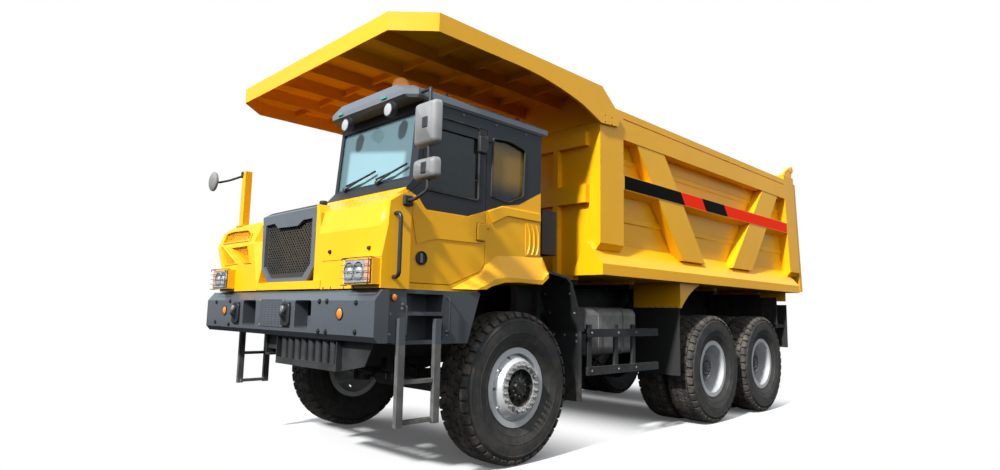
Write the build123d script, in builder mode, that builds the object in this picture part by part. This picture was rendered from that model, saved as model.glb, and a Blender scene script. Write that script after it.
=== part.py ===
from build123d import *
import os

# Mining dump truck, 6x4, with a wide tipping body and an offset half cab. Millimetres.
# The truck faces -Y, its left side is +X and the ground is Z = 0.
# A half width is measured from the centre plane X = 0.

os.makedirs("parts", exist_ok=True)

# ---- fits ----------------------------------------------------------------------------------------
SEAT_GAP = 0.3              # between pieces that seat on each other
RUN_GAP = 0.3               # between a shaft or pin and its bore

# ---- axles and wheels ----------------------------------------------------------------------------
FRONT_AXLE_Y = -2590
WHEELBASE = 3595            # front axle to first drive axle
TANDEM = 1530               # first drive axle to second
AXLE_1_Y = FRONT_AXLE_Y + WHEELBASE
AXLE_2_Y = AXLE_1_Y + TANDEM

TYRE_R = 685                # 14.00R25
TYRE_W = 375
LUG_DEPTH = 28
LUG_COUNT = 26              # shoulder blocks in each row
LUG_SLOT = 44
RIM_SEAT_R = 318
RIM_FLANGE_R = 357
RIM_HALF_W = 137
RIM_PLATE = 14
FRONT_WHEEL_X = 1324        # centre plane of a steered wheel
TWIN_OUTER_X = 1453         # centre plane of the outer wheel of a pair
TWIN_SPACING = 420
TWIN_INNER_X = TWIN_OUTER_X - TWIN_SPACING

KINGPIN_X = 1010
KINGPIN_R = 35
KNUCKLE_ARM = 230           # steering arm, kingpin to tie rod pin
SPINDLE_R = 48
SPINDLE_END = FRONT_WHEEL_X - 20
TIE_ROD_Z = TYRE_R - 115
TIE_PIN_R = 14

# ---- frame ---------------------------------------------------------------------------------------
RAIL_X = 430                # outer face of a frame rail
RAIL_FLANGE = 90
RAIL_IN_X = RAIL_X - RAIL_FLANGE
RAIL_TOP = 1300
RAIL_H = 380
RAIL_LOW = RAIL_TOP - RAIL_H
RAIL_PLATE = 20
FRAME_FRONT_Y = FRONT_AXLE_Y - 1500
HINGE_Y = AXLE_2_Y + 865        # tipping hinge of the dump body
HINGE_Z = RAIL_TOP - 40
HINGE_R = 50
FRAME_REAR_Y = HINGE_Y - 100

HOIST_X = 620
HOIST_LOW = (FRONT_AXLE_Y + 2300, 700)      # y, z of the lower pin
HOIST_TOP = (FRONT_AXLE_Y + 3350, 1560)     # y, z of the rod's eye
HOIST_PIN_R = 45
HOIST_PIN_END = HOIST_X + 85

# ---- front end and cab ---------------------------------------------------------------------------
BUMPER_Y = FRONT_AXLE_Y - 1640
BUMPER_DEPTH = 125
BUMPER_HALF = 1575
BUMPER_LOW = 1118
BUMPER_TOP = 1512
NOSE_Y = FRONT_AXLE_Y - 1590    # front face of the cab's nose and the right-hand box
NOSE_LOW = 1522
NOSE_IN_X = 632             # the cab's nose is set out to the left of its screen
NOSE_OUT_X = 1565
NOSE_WALL = 130             # inner side wall of the nose
GRILLE_Y = FRONT_AXLE_Y - 1572
GRILLE_DEPTH = 90
NOSE_BACK_Y = GRILLE_Y + GRILLE_DEPTH + 10      # front of the cab beside the nose
HEADLAMP_Z = (1547, 1742)
HEADLAMP_REACH = 73         # the lamp boxes stand this far out of the nose
HEADLAMP_X = ((1180, 1554), (-1402, -1030))

CAB_IN_X = 270              # inner and outer side of the offset cab
CAB_OUT_X = 1500
CAB_MID_X = (CAB_IN_X + CAB_OUT_X) / 2
CAB_WALL = 50
CAB_REAR_Y = FRONT_AXLE_Y + 262
CAB_TOP = 3072
CREASE_Z = 1987             # where the nose starts to lean back
SCREEN_LOW = (FRONT_AXLE_Y - 1250, 2425)
NOSE_LEAN = 45              # the nose and the box lean back this far above the crease
NOSE_SLOPE = ((NOSE_Y, CREASE_Z), (NOSE_Y + NOSE_LEAN, CREASE_Z + 195),
              (NOSE_Y + 235, CREASE_Z + 320), SCREEN_LOW)
SCREEN_TOP = (FRONT_AXLE_Y - 1195, 3000)
ARCH_TOP = 1625             # cab underside over the wheel
DOOR_REAR_Y = FRONT_AXLE_Y - 472
DOOR_W = 858
DOOR_FRONT_Y = DOOR_REAR_Y - DOOR_W
DOOR_LOW = NOSE_LOW + 50
DOOR_TOP = CAB_TOP - 97
DOOR_GAP = 6
DOOR_T = 45
BELT_Z = 2320               # lower edge of the side glass, about

# ---- dump body -----------------------------------------------------------------------------------
BODY_FRONT_Y = FRONT_AXLE_Y + 1073
BODY_TOP_LENGTH = 5508      # headboard to the top of the rear posts
REAR_RAKE = 153             # the rear edge stands out by this at its foot
BODY_HALF = 1618            # outer face of posts and stiffeners
POST_DEPTH = 138            # side plate to the outer face of a post
WALL_HALF = BODY_HALF - POST_DEPTH
WALL = 16
FLOOR_HALF = WALL_HALF - 210
FLOOR_LOW = 1761
CHAMFER_TOP = FLOOR_LOW + 361
BODY_RIM_Z = FLOOR_LOW + 1849
POST_TOP = BODY_RIM_Z + 80
SILL_HALF = BODY_HALF + 71
SILL_EDGE_Z = FLOOR_LOW + 115
SILL_REAR_Y = BODY_FRONT_Y + BODY_TOP_LENGTH - 91

CANOPY_FRONT_Y = FRONT_AXLE_Y - 1481
CANOPY_HALF = BODY_HALF + 29
CANOPY_NOSE_HALF = CANOPY_HALF - 296
CANOPY_CORNER_Y = CANOPY_FRONT_Y + 299
CANOPY_LOW = BODY_RIM_Z + 6
CANOPY_DEPTH = 161
CANOPY_TOP = CANOPY_LOW + CANOPY_DEPTH
CANOPY_PLATE = 14

GATE_HALF = BODY_HALF - 18
GATE_GAP = 8
GATE_DEPTH = 110
GATE_LOW = FLOOR_LOW + 33
GATE_TOP = BODY_RIM_Z - 10
GATE_PIN = (BODY_FRONT_Y + BODY_TOP_LENGTH + 19, POST_TOP + 152)     # y, z
GATE_PIN_R = 28


def rear_y(z):
    """Y of the slanted rear edge of the body at height z."""
    foot_y = BODY_FRONT_Y + BODY_TOP_LENGTH + REAR_RAKE
    return foot_y - REAR_RAKE * (z - CHAMFER_TOP) / (POST_TOP - CHAMFER_TOP)


def slope_z(y):
    """Height of the facets that lean back from the nose's crease up to the screen."""
    for (y_a, z_a), (y_b, z_b) in zip(NOSE_SLOPE, NOSE_SLOPE[1:]):
        if y <= y_b:
            return z_a + (z_b - z_a) * (y - y_a) / (y_b - y_a)
    return NOSE_SLOPE[-1][1]


# ---- shape helpers: each adds to, or cuts from, the part that is open ----------------------------
def block(x, y, z, mode=Mode.ADD):
    """Rectangular plate or bar between (low, high) pairs."""
    with Locations(((x[0] + x[1]) / 2, (y[0] + y[1]) / 2, (z[0] + z[1]) / 2)):
        Box(x[1] - x[0], y[1] - y[0], z[1] - z[0], mode=mode)


def face_on(plane, points):
    """Closed straight-sided face on a plane."""
    with BuildSketch(plane) as outline:
        with BuildLine():
            Polyline(*points, close=True)
        make_face()
    return outline.sketch


def side_profile(points, x, mode=Mode.ADD):
    """(y, z) outline carried across the truck from x[0] to x[1]."""
    extrude(face_on(Plane.YZ.offset(x[0]), points), amount=x[1] - x[0], mode=mode)


def front_profile(points, y, mode=Mode.ADD):
    """(x, z) outline carried along the truck from y[0] to y[1]."""
    extrude(face_on(Plane.XZ.offset(-y[1]), points), amount=y[1] - y[0], mode=mode)


def top_profile(points, z, mode=Mode.ADD):
    """(x, y) outline carried up from z[0] to z[1]."""
    extrude(face_on(Plane.XY.offset(z[0]), points), amount=z[1] - z[0], mode=mode)


def shaft_x(x, y, z, radius, mode=Mode.ADD):
    """Round bar along X from x[0] to x[1]."""
    with Locations(((x[0] + x[1]) / 2, y, z)):
        Cylinder(radius, x[1] - x[0], rotation=(0, 90, 0), mode=mode)


def shaft_y(x, y, z, radius, mode=Mode.ADD):
    """Round bar along Y from y[0] to y[1]."""
    with Locations((x, (y[0] + y[1]) / 2, z)):
        Cylinder(radius, y[1] - y[0], rotation=(90, 0, 0), mode=mode)


def shaft_z(x, y, z, radius, mode=Mode.ADD):
    """Round bar along Z from z[0] to z[1]."""
    with Locations((x, y, (z[0] + z[1]) / 2)):
        Cylinder(radius, z[1] - z[0], mode=mode)


def both(side, a, b):
    """A (low, high) X pair given for the left side, on the chosen side."""
    return (a, b) if side > 0 else (-b, -a)


def mirrored(side, points):
    """Front outline given for the left side, on the chosen side."""
    return [(side * x, z) for x, z in points]


def tube(points, radius, bend):
    """Bent round tube along a path of straight runs."""
    with BuildLine() as route:
        FilletPolyline(*points, radius=bend)
    with BuildSketch(Plane(route.line @ 0, z_dir=route.line % 0)) as ring:
        Circle(radius)
    sweep(ring.sketch, path=route.line)


def spun(profile, axle_y=0, axle_z=0):
    """Solid of revolution about a wheel axle; profile is (outboard, radius)."""
    plane = Plane(origin=(0, axle_y, axle_z), x_dir=(1, 0, 0), z_dir=(0, -1, 0))
    revolve(face_on(plane, profile), axis=Axis((0, axle_y, axle_z), (1, 0, 0)))


def on_axle(wheel, x, axle_y):
    """Copy of a wheel part on an axle, its outboard face away from the centre plane."""
    with Locations(Location((x, axle_y, TYRE_R), (0, 0, 0 if x > 0 else 180))):
        add(wheel.part)


# ---- frame: two channel rails, cross members, hinge and hoist brackets ---------------------------
# (y, lower z, upper z)
CROSS_MEMBERS = ((FRAME_FRONT_Y + 80, RAIL_LOW + 60, RAIL_TOP - 60),
                 (FRONT_AXLE_Y + 920, RAIL_LOW + 170, RAIL_TOP - 40),
                 (HOIST_LOW[0], RAIL_LOW + 40, RAIL_TOP - 60),
                 (AXLE_1_Y + TANDEM / 2, RAIL_LOW + 60, RAIL_TOP - 60),
                 (FRAME_REAR_Y - 160, RAIL_LOW + 60, RAIL_TOP - 60))
CROSS_HALF = 60
with BuildPart() as frame:
    for side in (-1, 1):
        web_in = RAIL_X - RAIL_PLATE
        channel = [(RAIL_X, RAIL_LOW), (RAIL_X, RAIL_TOP), (RAIL_IN_X, RAIL_TOP),
                   (RAIL_IN_X, RAIL_TOP - RAIL_PLATE), (web_in, RAIL_TOP - RAIL_PLATE),
                   (web_in, RAIL_LOW + RAIL_PLATE), (RAIL_IN_X, RAIL_LOW + RAIL_PLATE),
                   (RAIL_IN_X, RAIL_LOW)]
        front_profile(mirrored(side, channel), (FRAME_FRONT_Y, FRAME_REAR_Y))
        # hinge bracket at the rear end of the rail
        side_profile([(FRAME_REAR_Y - 260, RAIL_LOW), (FRAME_REAR_Y - 260, RAIL_TOP),
                      (FRAME_REAR_Y, RAIL_TOP), (HINGE_Y + 20, HINGE_Z + 75),
                      (HINGE_Y + 80, HINGE_Z), (HINGE_Y + 20, HINGE_Z - 90),
                      (FRAME_REAR_Y, RAIL_LOW)], both(side, RAIL_IN_X, RAIL_X))
        # hoist bracket and its stub pin
        side_profile([(HOIST_LOW[0] - 190, RAIL_LOW), (HOIST_LOW[0] - 80, HOIST_LOW[1] - 70),
                      (HOIST_LOW[0] + 80, HOIST_LOW[1] - 70), (HOIST_LOW[0] + 190, RAIL_LOW)],
                     both(side, RAIL_IN_X, RAIL_X))
        shaft_x(both(side, RAIL_X, HOIST_PIN_END), HOIST_LOW[0], HOIST_LOW[1], HOIST_PIN_R)
    for y, z_low, z_high in CROSS_MEMBERS:
        block((-RAIL_X + RAIL_PLATE, RAIL_X - RAIL_PLATE), (y - CROSS_HALF, y + CROSS_HALF),
              (z_low, z_high))
    shaft_x((-RAIL_X - 60, RAIL_X + 60), HINGE_Y, HINGE_Z, HINGE_R)
frame.part.label = "frame"
export_step(frame.part, "parts/frame.step")

# ---- bumper: folded plate with two openings for the tow hooks ------------------------------------
OPENING_IN_X = (-390, 376)  # edge of each opening nearer the truck's centre or left side
OPENING_W = 280
OPENING_Z = (1185, 1430)
OPENING_R = 28
BUMPER_BACK_Y = BUMPER_Y + BUMPER_DEPTH
with BuildPart() as front_bumper:
    side_profile([(BUMPER_Y, BUMPER_LOW + 44), (BUMPER_Y, BUMPER_TOP - 84),
                  (BUMPER_Y + 66, BUMPER_TOP), (BUMPER_BACK_Y, BUMPER_TOP),
                  (BUMPER_BACK_Y, BUMPER_LOW), (BUMPER_Y + 38, BUMPER_LOW)],
                 (-BUMPER_HALF, BUMPER_HALF))
    opening_mid_z = (OPENING_Z[0] + OPENING_Z[1]) / 2
    with BuildSketch(Plane.XZ.offset(-BUMPER_BACK_Y - 10)) as openings:
        with Locations((OPENING_IN_X[0] - OPENING_W / 2, opening_mid_z),
                       (OPENING_IN_X[1] + OPENING_W / 2, opening_mid_z)):
            RectangleRounded(OPENING_W, OPENING_Z[1] - OPENING_Z[0], OPENING_R)
    extrude(openings.sketch, amount=BUMPER_DEPTH + 20, mode=Mode.SUBTRACT)
    for side in (-1, 1):
        # bracket from the frame rail to the bumper's back
        block(both(side, RAIL_IN_X, RAIL_X), (BUMPER_BACK_Y, FRAME_FRONT_Y),
              (BUMPER_LOW + 42, RAIL_TOP))
front_bumper.part.label = "front_bumper"
export_step(front_bumper.part, "parts/front_bumper.step")

# ---- tow hooks: a plate on the bumper and a bored eye standing out of it -------------------------
HOOK_BORE_R = 17
HOOK_EYE_R = 31
HOOK_Z = 1305
HOOK_REACH = 64             # front of the eye to the bumper's face
HOOK_T = 40
HOOK_SET_OFF = 130          # hook beside its opening
HOOK_PLATE = 12
with BuildPart() as tow_hooks:
    for x in (OPENING_IN_X[0] - OPENING_W - HOOK_SET_OFF, OPENING_IN_X[1] - HOOK_SET_OFF):
        foot_y = BUMPER_Y - HOOK_PLATE
        eye_y = BUMPER_Y - HOOK_REACH + HOOK_EYE_R
        block((x - 55, x + 55), (foot_y, BUMPER_Y), (HOOK_Z - 105, HOOK_Z + 105))
        side_profile([(foot_y, HOOK_Z - 85), (foot_y, HOOK_Z + 85),
                      (eye_y - 10, HOOK_Z + HOOK_EYE_R), (eye_y - 10, HOOK_Z - HOOK_EYE_R)],
                     (x - HOOK_T / 2, x + HOOK_T / 2))
        shaft_x((x - HOOK_T / 2, x + HOOK_T / 2), eye_y, HOOK_Z, HOOK_EYE_R)
        shaft_x((x - HOOK_T, x + HOOK_T), eye_y, HOOK_Z, HOOK_BORE_R, Mode.SUBTRACT)
tow_hooks.part.label = "tow_hooks"
export_step(tow_hooks.part, "parts/tow_hooks.step")

# ---- filter tray below the bumper, with its row of filters ---------------------------------------
TRAY_X = (-40, 980)
TRAY_LOW = 870
TRAY_PLATE = 12
TRAY_Y = (BUMPER_Y + 60, BUMPER_BACK_Y + 90)
FILTER_R = 42
FILTER_PITCH = 118
with BuildPart() as lower_guard:
    block(TRAY_X, (BUMPER_Y + 60, BUMPER_BACK_Y), (BUMPER_LOW - TRAY_PLATE, BUMPER_LOW))
    block(TRAY_X, TRAY_Y, (TRAY_LOW, TRAY_LOW + TRAY_PLATE))
    block(TRAY_X, (TRAY_Y[0], TRAY_Y[0] + TRAY_PLATE), (TRAY_LOW, TRAY_LOW + 55))
    for x in TRAY_X:
        block((x - TRAY_PLATE / 2, x + TRAY_PLATE / 2), (TRAY_Y[0], BUMPER_BACK_Y),
              (TRAY_LOW, BUMPER_LOW))
    # sloping plate from the tray's outer end up to the bumper's end
    front_profile([(TRAY_X[1], TRAY_LOW), (BUMPER_HALF - 270, BUMPER_LOW - 190),
                   (BUMPER_HALF - 150, BUMPER_LOW), (TRAY_X[1], BUMPER_LOW)],
                  (BUMPER_BACK_Y - TRAY_PLATE, BUMPER_BACK_Y))
    with Locations(((TRAY_X[0] + TRAY_X[1]) / 2, BUMPER_Y + 60 + FILTER_R,
                    (TRAY_LOW + BUMPER_LOW) / 2)):
        with GridLocations(FILTER_PITCH, 1, 8, 1):
            Cylinder(FILTER_R - 6, BUMPER_LOW - TRAY_LOW - TRAY_PLATE)
lower_guard.part.label = "lower_guard"
export_step(lower_guard.part, "parts/lower_guard.step")

# ---- front axle beam with kingpin bosses ---------------------------------------------------------
BOSS_R = 72
BOSS_HALF = 90
BEAM_DROP = 85              # the middle of the beam hangs this far below its ends
BEAM_Z = (TYRE_R - 60, TYRE_R + 60)
with BuildPart() as front_axle:
    front_profile([(-KINGPIN_X + 70, BEAM_Z[0]), (-760, BEAM_Z[0]), (-620, BEAM_Z[0] - BEAM_DROP),
                   (620, BEAM_Z[0] - BEAM_DROP), (760, BEAM_Z[0]), (KINGPIN_X - 70, BEAM_Z[0]),
                   (KINGPIN_X - 70, BEAM_Z[1]), (720, BEAM_Z[1]), (580, BEAM_Z[1] - 75),
                   (-580, BEAM_Z[1] - 75), (-720, BEAM_Z[1]), (-KINGPIN_X + 70, BEAM_Z[1])],
                  (FRONT_AXLE_Y - 65, FRONT_AXLE_Y + 65))
    for side in (-1, 1):
        block(both(side, KINGPIN_X - 80, KINGPIN_X), (FRONT_AXLE_Y - 55, FRONT_AXLE_Y + 55), BEAM_Z)
        shaft_z(side * KINGPIN_X, FRONT_AXLE_Y, (TYRE_R - BOSS_HALF, TYRE_R + BOSS_HALF), BOSS_R)
        shaft_z(side * KINGPIN_X, FRONT_AXLE_Y, (TYRE_R - BOSS_HALF - 10, TYRE_R + BOSS_HALF + 10),
                KINGPIN_R + RUN_GAP, Mode.SUBTRACT)
front_axle.part.label = "front_axle"
export_step(front_axle.part, "parts/front_axle.step")

# ---- steering knuckles: yoke, kingpin, spindle and steering arm ----------------------------------
YOKE_T = 50
YOKE_HALF = BOSS_HALF + 40
ARM_T = 24
SIDES = (("left", 1), ("right", -1))
for name, side in SIDES:
    with BuildPart() as knuckle:
        pin_x = side * KINGPIN_X
        arm_y = FRONT_AXLE_Y + KNUCKLE_ARM
        for low in (TYRE_R - BOSS_HALF - YOKE_T - SEAT_GAP, TYRE_R + BOSS_HALF + SEAT_GAP):
            shaft_z(pin_x, FRONT_AXLE_Y, (low, low + YOKE_T), BOSS_R)
            block(both(side, KINGPIN_X, KINGPIN_X + 120), (FRONT_AXLE_Y - 60, FRONT_AXLE_Y + 60),
                  (low, low + YOKE_T))
        block(both(side, KINGPIN_X + BOSS_R + 8, KINGPIN_X + 120),
              (FRONT_AXLE_Y - 60, FRONT_AXLE_Y + 60), (TYRE_R - YOKE_HALF, TYRE_R + YOKE_HALF))
        shaft_z(pin_x, FRONT_AXLE_Y, (TYRE_R - YOKE_HALF, TYRE_R + YOKE_HALF), KINGPIN_R)
        shaft_x(both(side, KINGPIN_X + 100, SPINDLE_END), FRONT_AXLE_Y, TYRE_R, SPINDLE_R)
        block(both(side, KINGPIN_X - 30, KINGPIN_X + 30), (FRONT_AXLE_Y + 40, arm_y),
              (TIE_ROD_Z, TIE_ROD_Z + ARM_T))
        shaft_z(pin_x, arm_y, (TIE_ROD_Z, TIE_ROD_Z + ARM_T), 34)
        shaft_z(pin_x, arm_y, (TIE_ROD_Z - 62, TIE_ROD_Z + 5), TIE_PIN_R)
    knuckle.part.label = f"knuckle_{name}"
    export_step(knuckle.part, f"parts/knuckle_{name}.step")

# ---- tie rod, hung on the pins of the steering arms ----------------------------------------------
ROD_R = 24
ROD_EYE_R = 36
ROD_EYE_HALF = 28
with BuildPart() as tie_rod:
    rod_z = TIE_ROD_Z - ROD_EYE_HALF - 2
    rod_y = FRONT_AXLE_Y + KNUCKLE_ARM
    shaft_x((-KINGPIN_X + 30, KINGPIN_X - 30), rod_y, rod_z, ROD_R)
    for side in (-1, 1):
        shaft_z(side * KINGPIN_X, rod_y, (rod_z - ROD_EYE_HALF, rod_z + ROD_EYE_HALF), ROD_EYE_R)
        shaft_z(side * KINGPIN_X, rod_y, (rod_z - 40, rod_z + 40), TIE_PIN_R + RUN_GAP,
                Mode.SUBTRACT)
tie_rod.part.label = "tie_rod"
export_step(tie_rod.part, "parts/tie_rod.step")

# ---- tyre with two rows of shoulder blocks, made once and set on every wheel ---------------------
# half section of a tyre: outboard distance from its centre plane, radius
SHOULDER = TYRE_W / 2 - 36
TYRE_HALF_SECTION = [(RIM_HALF_W - 11, RIM_SEAT_R + SEAT_GAP), (RIM_HALF_W - 11, RIM_FLANGE_R + 10),
                     (RIM_HALF_W + 27, RIM_SEAT_R + 102), (TYRE_W / 2, RIM_SEAT_R + 192),
                     (TYRE_W / 2, TYRE_R - 125), (TYRE_W / 2 - 12, TYRE_R - 45),
                     (SHOULDER, TYRE_R), (7, TYRE_R), (7, TYRE_R - LUG_DEPTH)]
TYRE_SECTION = TYRE_HALF_SECTION + [(-out, r) for out, r in reversed(TYRE_HALF_SECTION)]
with BuildPart() as tyre:
    spun(TYRE_SECTION)
    for start_x, first_angle in ((7, 0), (-TYRE_W / 2, 180 / LUG_COUNT)):
        with BuildSketch(Plane.YZ.offset(start_x)) as slots:
            with PolarLocations(TYRE_R, LUG_COUNT, start_angle=first_angle):
                Rectangle(2 * LUG_DEPTH, LUG_SLOT)
        extrude(slots.sketch, amount=TYRE_W / 2 - 7, mode=Mode.SUBTRACT)

# ---- rims, hubs and brake drums, made once for each kind of wheel --------------------------------
RIM_WELL_R = RIM_SEAT_R - RIM_PLATE
RIM_SECTION = [(-RIM_HALF_W, RIM_WELL_R), (RIM_HALF_W, RIM_WELL_R),
               (RIM_HALF_W, RIM_FLANGE_R), (RIM_HALF_W - 10, RIM_FLANGE_R),
               (RIM_HALF_W - 10, RIM_SEAT_R), (-RIM_HALF_W + 10, RIM_SEAT_R),
               (-RIM_HALF_W + 10, RIM_FLANGE_R), (-RIM_HALF_W, RIM_FLANGE_R)]
BOLT_FACE = 190             # bolt ring of a steered wheel, outboard of its centre plane
BOLT_RING_R = (168, 236)
HUB_CAP_R = 62
VENT_COUNT = 10
VENT_R = 14
SPINDLE_OUT = SPINDLE_END - FRONT_WHEEL_X
with BuildPart() as steered_rim:
    spun(RIM_SECTION)
    # cone and bolt ring standing out of the rim, hub in its recess, bore for the spindle
    spun([(54, RIM_WELL_R + 2), (72, RIM_WELL_R + 2), (BOLT_FACE - 12, BOLT_RING_R[1] + 10),
          (BOLT_FACE, BOLT_RING_R[1]), (BOLT_FACE, BOLT_RING_R[0]), (130, BOLT_RING_R[0] - 8),
          (130, HUB_CAP_R + 6), (152, HUB_CAP_R), (152, 0.01), (SPINDLE_OUT + RUN_GAP, 0.01),
          (SPINDLE_OUT + RUN_GAP, SPINDLE_R + RUN_GAP), (-130, SPINDLE_R + RUN_GAP), (-130, 110),
          (-20, 150), (110, BOLT_RING_R[0] + 4), (BOLT_FACE - 18, BOLT_RING_R[0] + 12),
          (BOLT_FACE - 18, BOLT_RING_R[1] - 10), (BOLT_FACE - 26, BOLT_RING_R[1] - 4)])
    with BuildSketch(Plane.YZ.offset(40)) as vents:
        with PolarLocations(276, VENT_COUNT):
            Circle(VENT_R)
    extrude(vents.sketch, amount=110, mode=Mode.SUBTRACT)

AXLE_STUB_R = 85
STUB_OUT = -190             # end of an axle stub from the outer wheel's centre plane
AXLE_STUB_END = TWIN_OUTER_X + STUB_OUT
DRUM_R = 190
DISC_T = 16
with BuildPart() as twin_rim:
    for x in (-TWIN_SPACING / 2, TWIN_SPACING / 2):
        spun([(x + out, r) for out, r in RIM_SECTION])
    # drum that carries both discs, bored for the axle stub, with its hub cap
    outer = TWIN_SPACING / 2
    inner = -TWIN_SPACING / 2
    bore_end = outer + STUB_OUT + RUN_GAP
    spun([(inner + 100, RIM_WELL_R + 2), (inner + 100 + DISC_T, RIM_WELL_R + 2),
          (inner + 100 + DISC_T, DRUM_R), (outer - 110 - DISC_T, DRUM_R),
          (outer - 110 - DISC_T, RIM_WELL_R + 2), (outer - 110, RIM_WELL_R + 2),
          (outer - 110, 215), (outer - 60, 190), (outer + 20, 170), (outer + 40, 120),
          (outer + 40, 0.01), (bore_end, 0.01), (bore_end, AXLE_STUB_R + RUN_GAP),
          (inner - 40, AXLE_STUB_R + RUN_GAP), (inner - 40, DRUM_R), (inner + 100, DRUM_R)])
    with BuildSketch(Plane.YZ.offset(outer - 130)) as vents:
        with PolarLocations(262, VENT_COUNT):
            Circle(24)
    extrude(vents.sketch, amount=30, mode=Mode.SUBTRACT)

for name, side in SIDES:
    with BuildPart() as front_tyre:
        on_axle(tyre, side * FRONT_WHEEL_X, FRONT_AXLE_Y)
    front_tyre.part.label = f"front_tyre_{name}"
    export_step(front_tyre.part, f"parts/front_tyre_{name}.step")
    with BuildPart() as front_rim:
        on_axle(steered_rim, side * FRONT_WHEEL_X, FRONT_AXLE_Y)
    front_rim.part.label = f"front_rim_{name}"
    export_step(front_rim.part, f"parts/front_rim_{name}.step")
    for set_name, axle_y in (("fore", AXLE_1_Y), ("aft", AXLE_2_Y)):
        with BuildPart() as twin_tyres:
            on_axle(tyre, side * TWIN_INNER_X, axle_y)
            on_axle(tyre, side * TWIN_OUTER_X, axle_y)
        twin_tyres.part.label = f"{set_name}_tyres_{name}"
        export_step(twin_tyres.part, f"parts/{set_name}_tyres_{name}.step")
        with BuildPart() as twin_rims:
            on_axle(twin_rim, side * (TWIN_INNER_X + TWIN_OUTER_X) / 2, axle_y)
        twin_rims.part.label = f"{set_name}_rims_{name}"
        export_step(twin_rims.part, f"parts/{set_name}_rims_{name}.step")

# ---- drive axles ---------------------------------------------------------------------------------
BOWL_R = 235
AXLE_TUBE_R = 120
PINION_Z = TYRE_R + 60
PINION_REACH = 330
with BuildPart() as drive_axles:
    for axle_y in (AXLE_1_Y, AXLE_2_Y):
        tube_end = TWIN_INNER_X - 70
        spun([(-tube_end, 0.01), (-tube_end, AXLE_TUBE_R), (-300, AXLE_TUBE_R), (-210, 190),
              (-130, BOWL_R), (130, BOWL_R), (210, 190), (300, AXLE_TUBE_R),
              (tube_end, AXLE_TUBE_R), (tube_end, 0.01)], axle_y, TYRE_R)
        shaft_x((-AXLE_STUB_END, AXLE_STUB_END), axle_y, TYRE_R, AXLE_STUB_R)
        shaft_y(0, (axle_y - PINION_REACH, axle_y), PINION_Z, 95)
drive_axles.part.label = "drive_axles"
export_step(drive_axles.part, "parts/drive_axles.step")

# ---- springs: front leaf packs and the rocking packs between the drive axles ---------------------
FRONT_SPRING_X = 385
FRONT_SPRING_HALF = 700
REAR_SPRING_X = 540


def leaf_pack(x, y_mid, z_mid, half_length, rise, thick):
    """Curved pack of leaves along the truck; rise is end height above the middle."""
    with BuildSketch(Plane.YZ.offset(x[0])) as pack:
        with BuildLine():
            low = ThreePointArc((y_mid - half_length, z_mid + rise), (y_mid, z_mid),
                                (y_mid + half_length, z_mid + rise))
            high = ThreePointArc((y_mid - half_length, z_mid + rise + thick * 0.5),
                                 (y_mid, z_mid + thick),
                                 (y_mid + half_length, z_mid + rise + thick * 0.5))
            Line(low @ 0, high @ 0)
            Line(low @ 1, high @ 1)
        make_face()
    extrude(pack.sketch, amount=x[1] - x[0])


with BuildPart() as springs:
    seat_z = RAIL_LOW + 80
    for side in (-1, 1):
        wide = both(side, FRONT_SPRING_X - 45, FRONT_SPRING_X + 45)
        leaf_pack(wide, FRONT_AXLE_Y, TYRE_R - 15, FRONT_SPRING_HALF, 130, 110)
        for y in (FRONT_AXLE_Y - FRONT_SPRING_HALF, FRONT_AXLE_Y + FRONT_SPRING_HALF - 60):
            block(wide, (y, y + 60), (TYRE_R + 115, RAIL_LOW))
        wide = both(side, REAR_SPRING_X - 50, REAR_SPRING_X + 50)
        middle = (AXLE_1_Y + AXLE_2_Y) / 2
        leaf_pack(wide, middle, seat_z, TANDEM / 2, TYRE_R + AXLE_TUBE_R + SEAT_GAP - seat_z, 150)
        block(both(side, RAIL_X, REAR_SPRING_X + 60), (middle - 110, middle + 110),
              (RAIL_LOW - 40, seat_z))
springs.part.label = "springs"
export_step(springs.part, "parts/springs.step")

# ---- engine block, gearbox and propeller shafts --------------------------------------------------
GEARBOX_REAR_Y = FRONT_AXLE_Y + 830
GEARBOX_Z = 1000
ENGINE_HALF = RAIL_IN_X - SEAT_GAP
with BuildPart() as engine:
    block((-ENGINE_HALF, ENGINE_HALF), (FRAME_FRONT_Y + 260, FRONT_AXLE_Y + 120), (830, 1500))
    shaft_y(-20, (FRONT_AXLE_Y + 120, GEARBOX_REAR_Y), GEARBOX_Z + 10, 205)
engine.part.label = "engine"
export_step(engine.part, "parts/engine.step")

with BuildPart() as propshafts:
    # (front y, front z, rear y, rear z)
    for y_a, z_a, y_b, z_b in ((GEARBOX_REAR_Y, GEARBOX_Z, AXLE_1_Y - PINION_REACH, PINION_Z),
                               (AXLE_1_Y + BOWL_R, PINION_Z, AXLE_2_Y - PINION_REACH, PINION_Z)):
        run = Vector(0, y_b - y_a - 60, z_b - z_a)
        with BuildSketch(Plane(origin=(0, y_a + 30, z_a), z_dir=run)):
            Circle(50)
        extrude(amount=run.length)
        # end flanges, square to the gearbox and the axle pinions
        shaft_y(0, (y_a, y_a + 40), z_a, 80)
        shaft_y(0, (y_b - 40, y_b), z_b, 80)
propshafts.part.label = "propshafts"
export_step(propshafts.part, "parts/propshafts.step")

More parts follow.
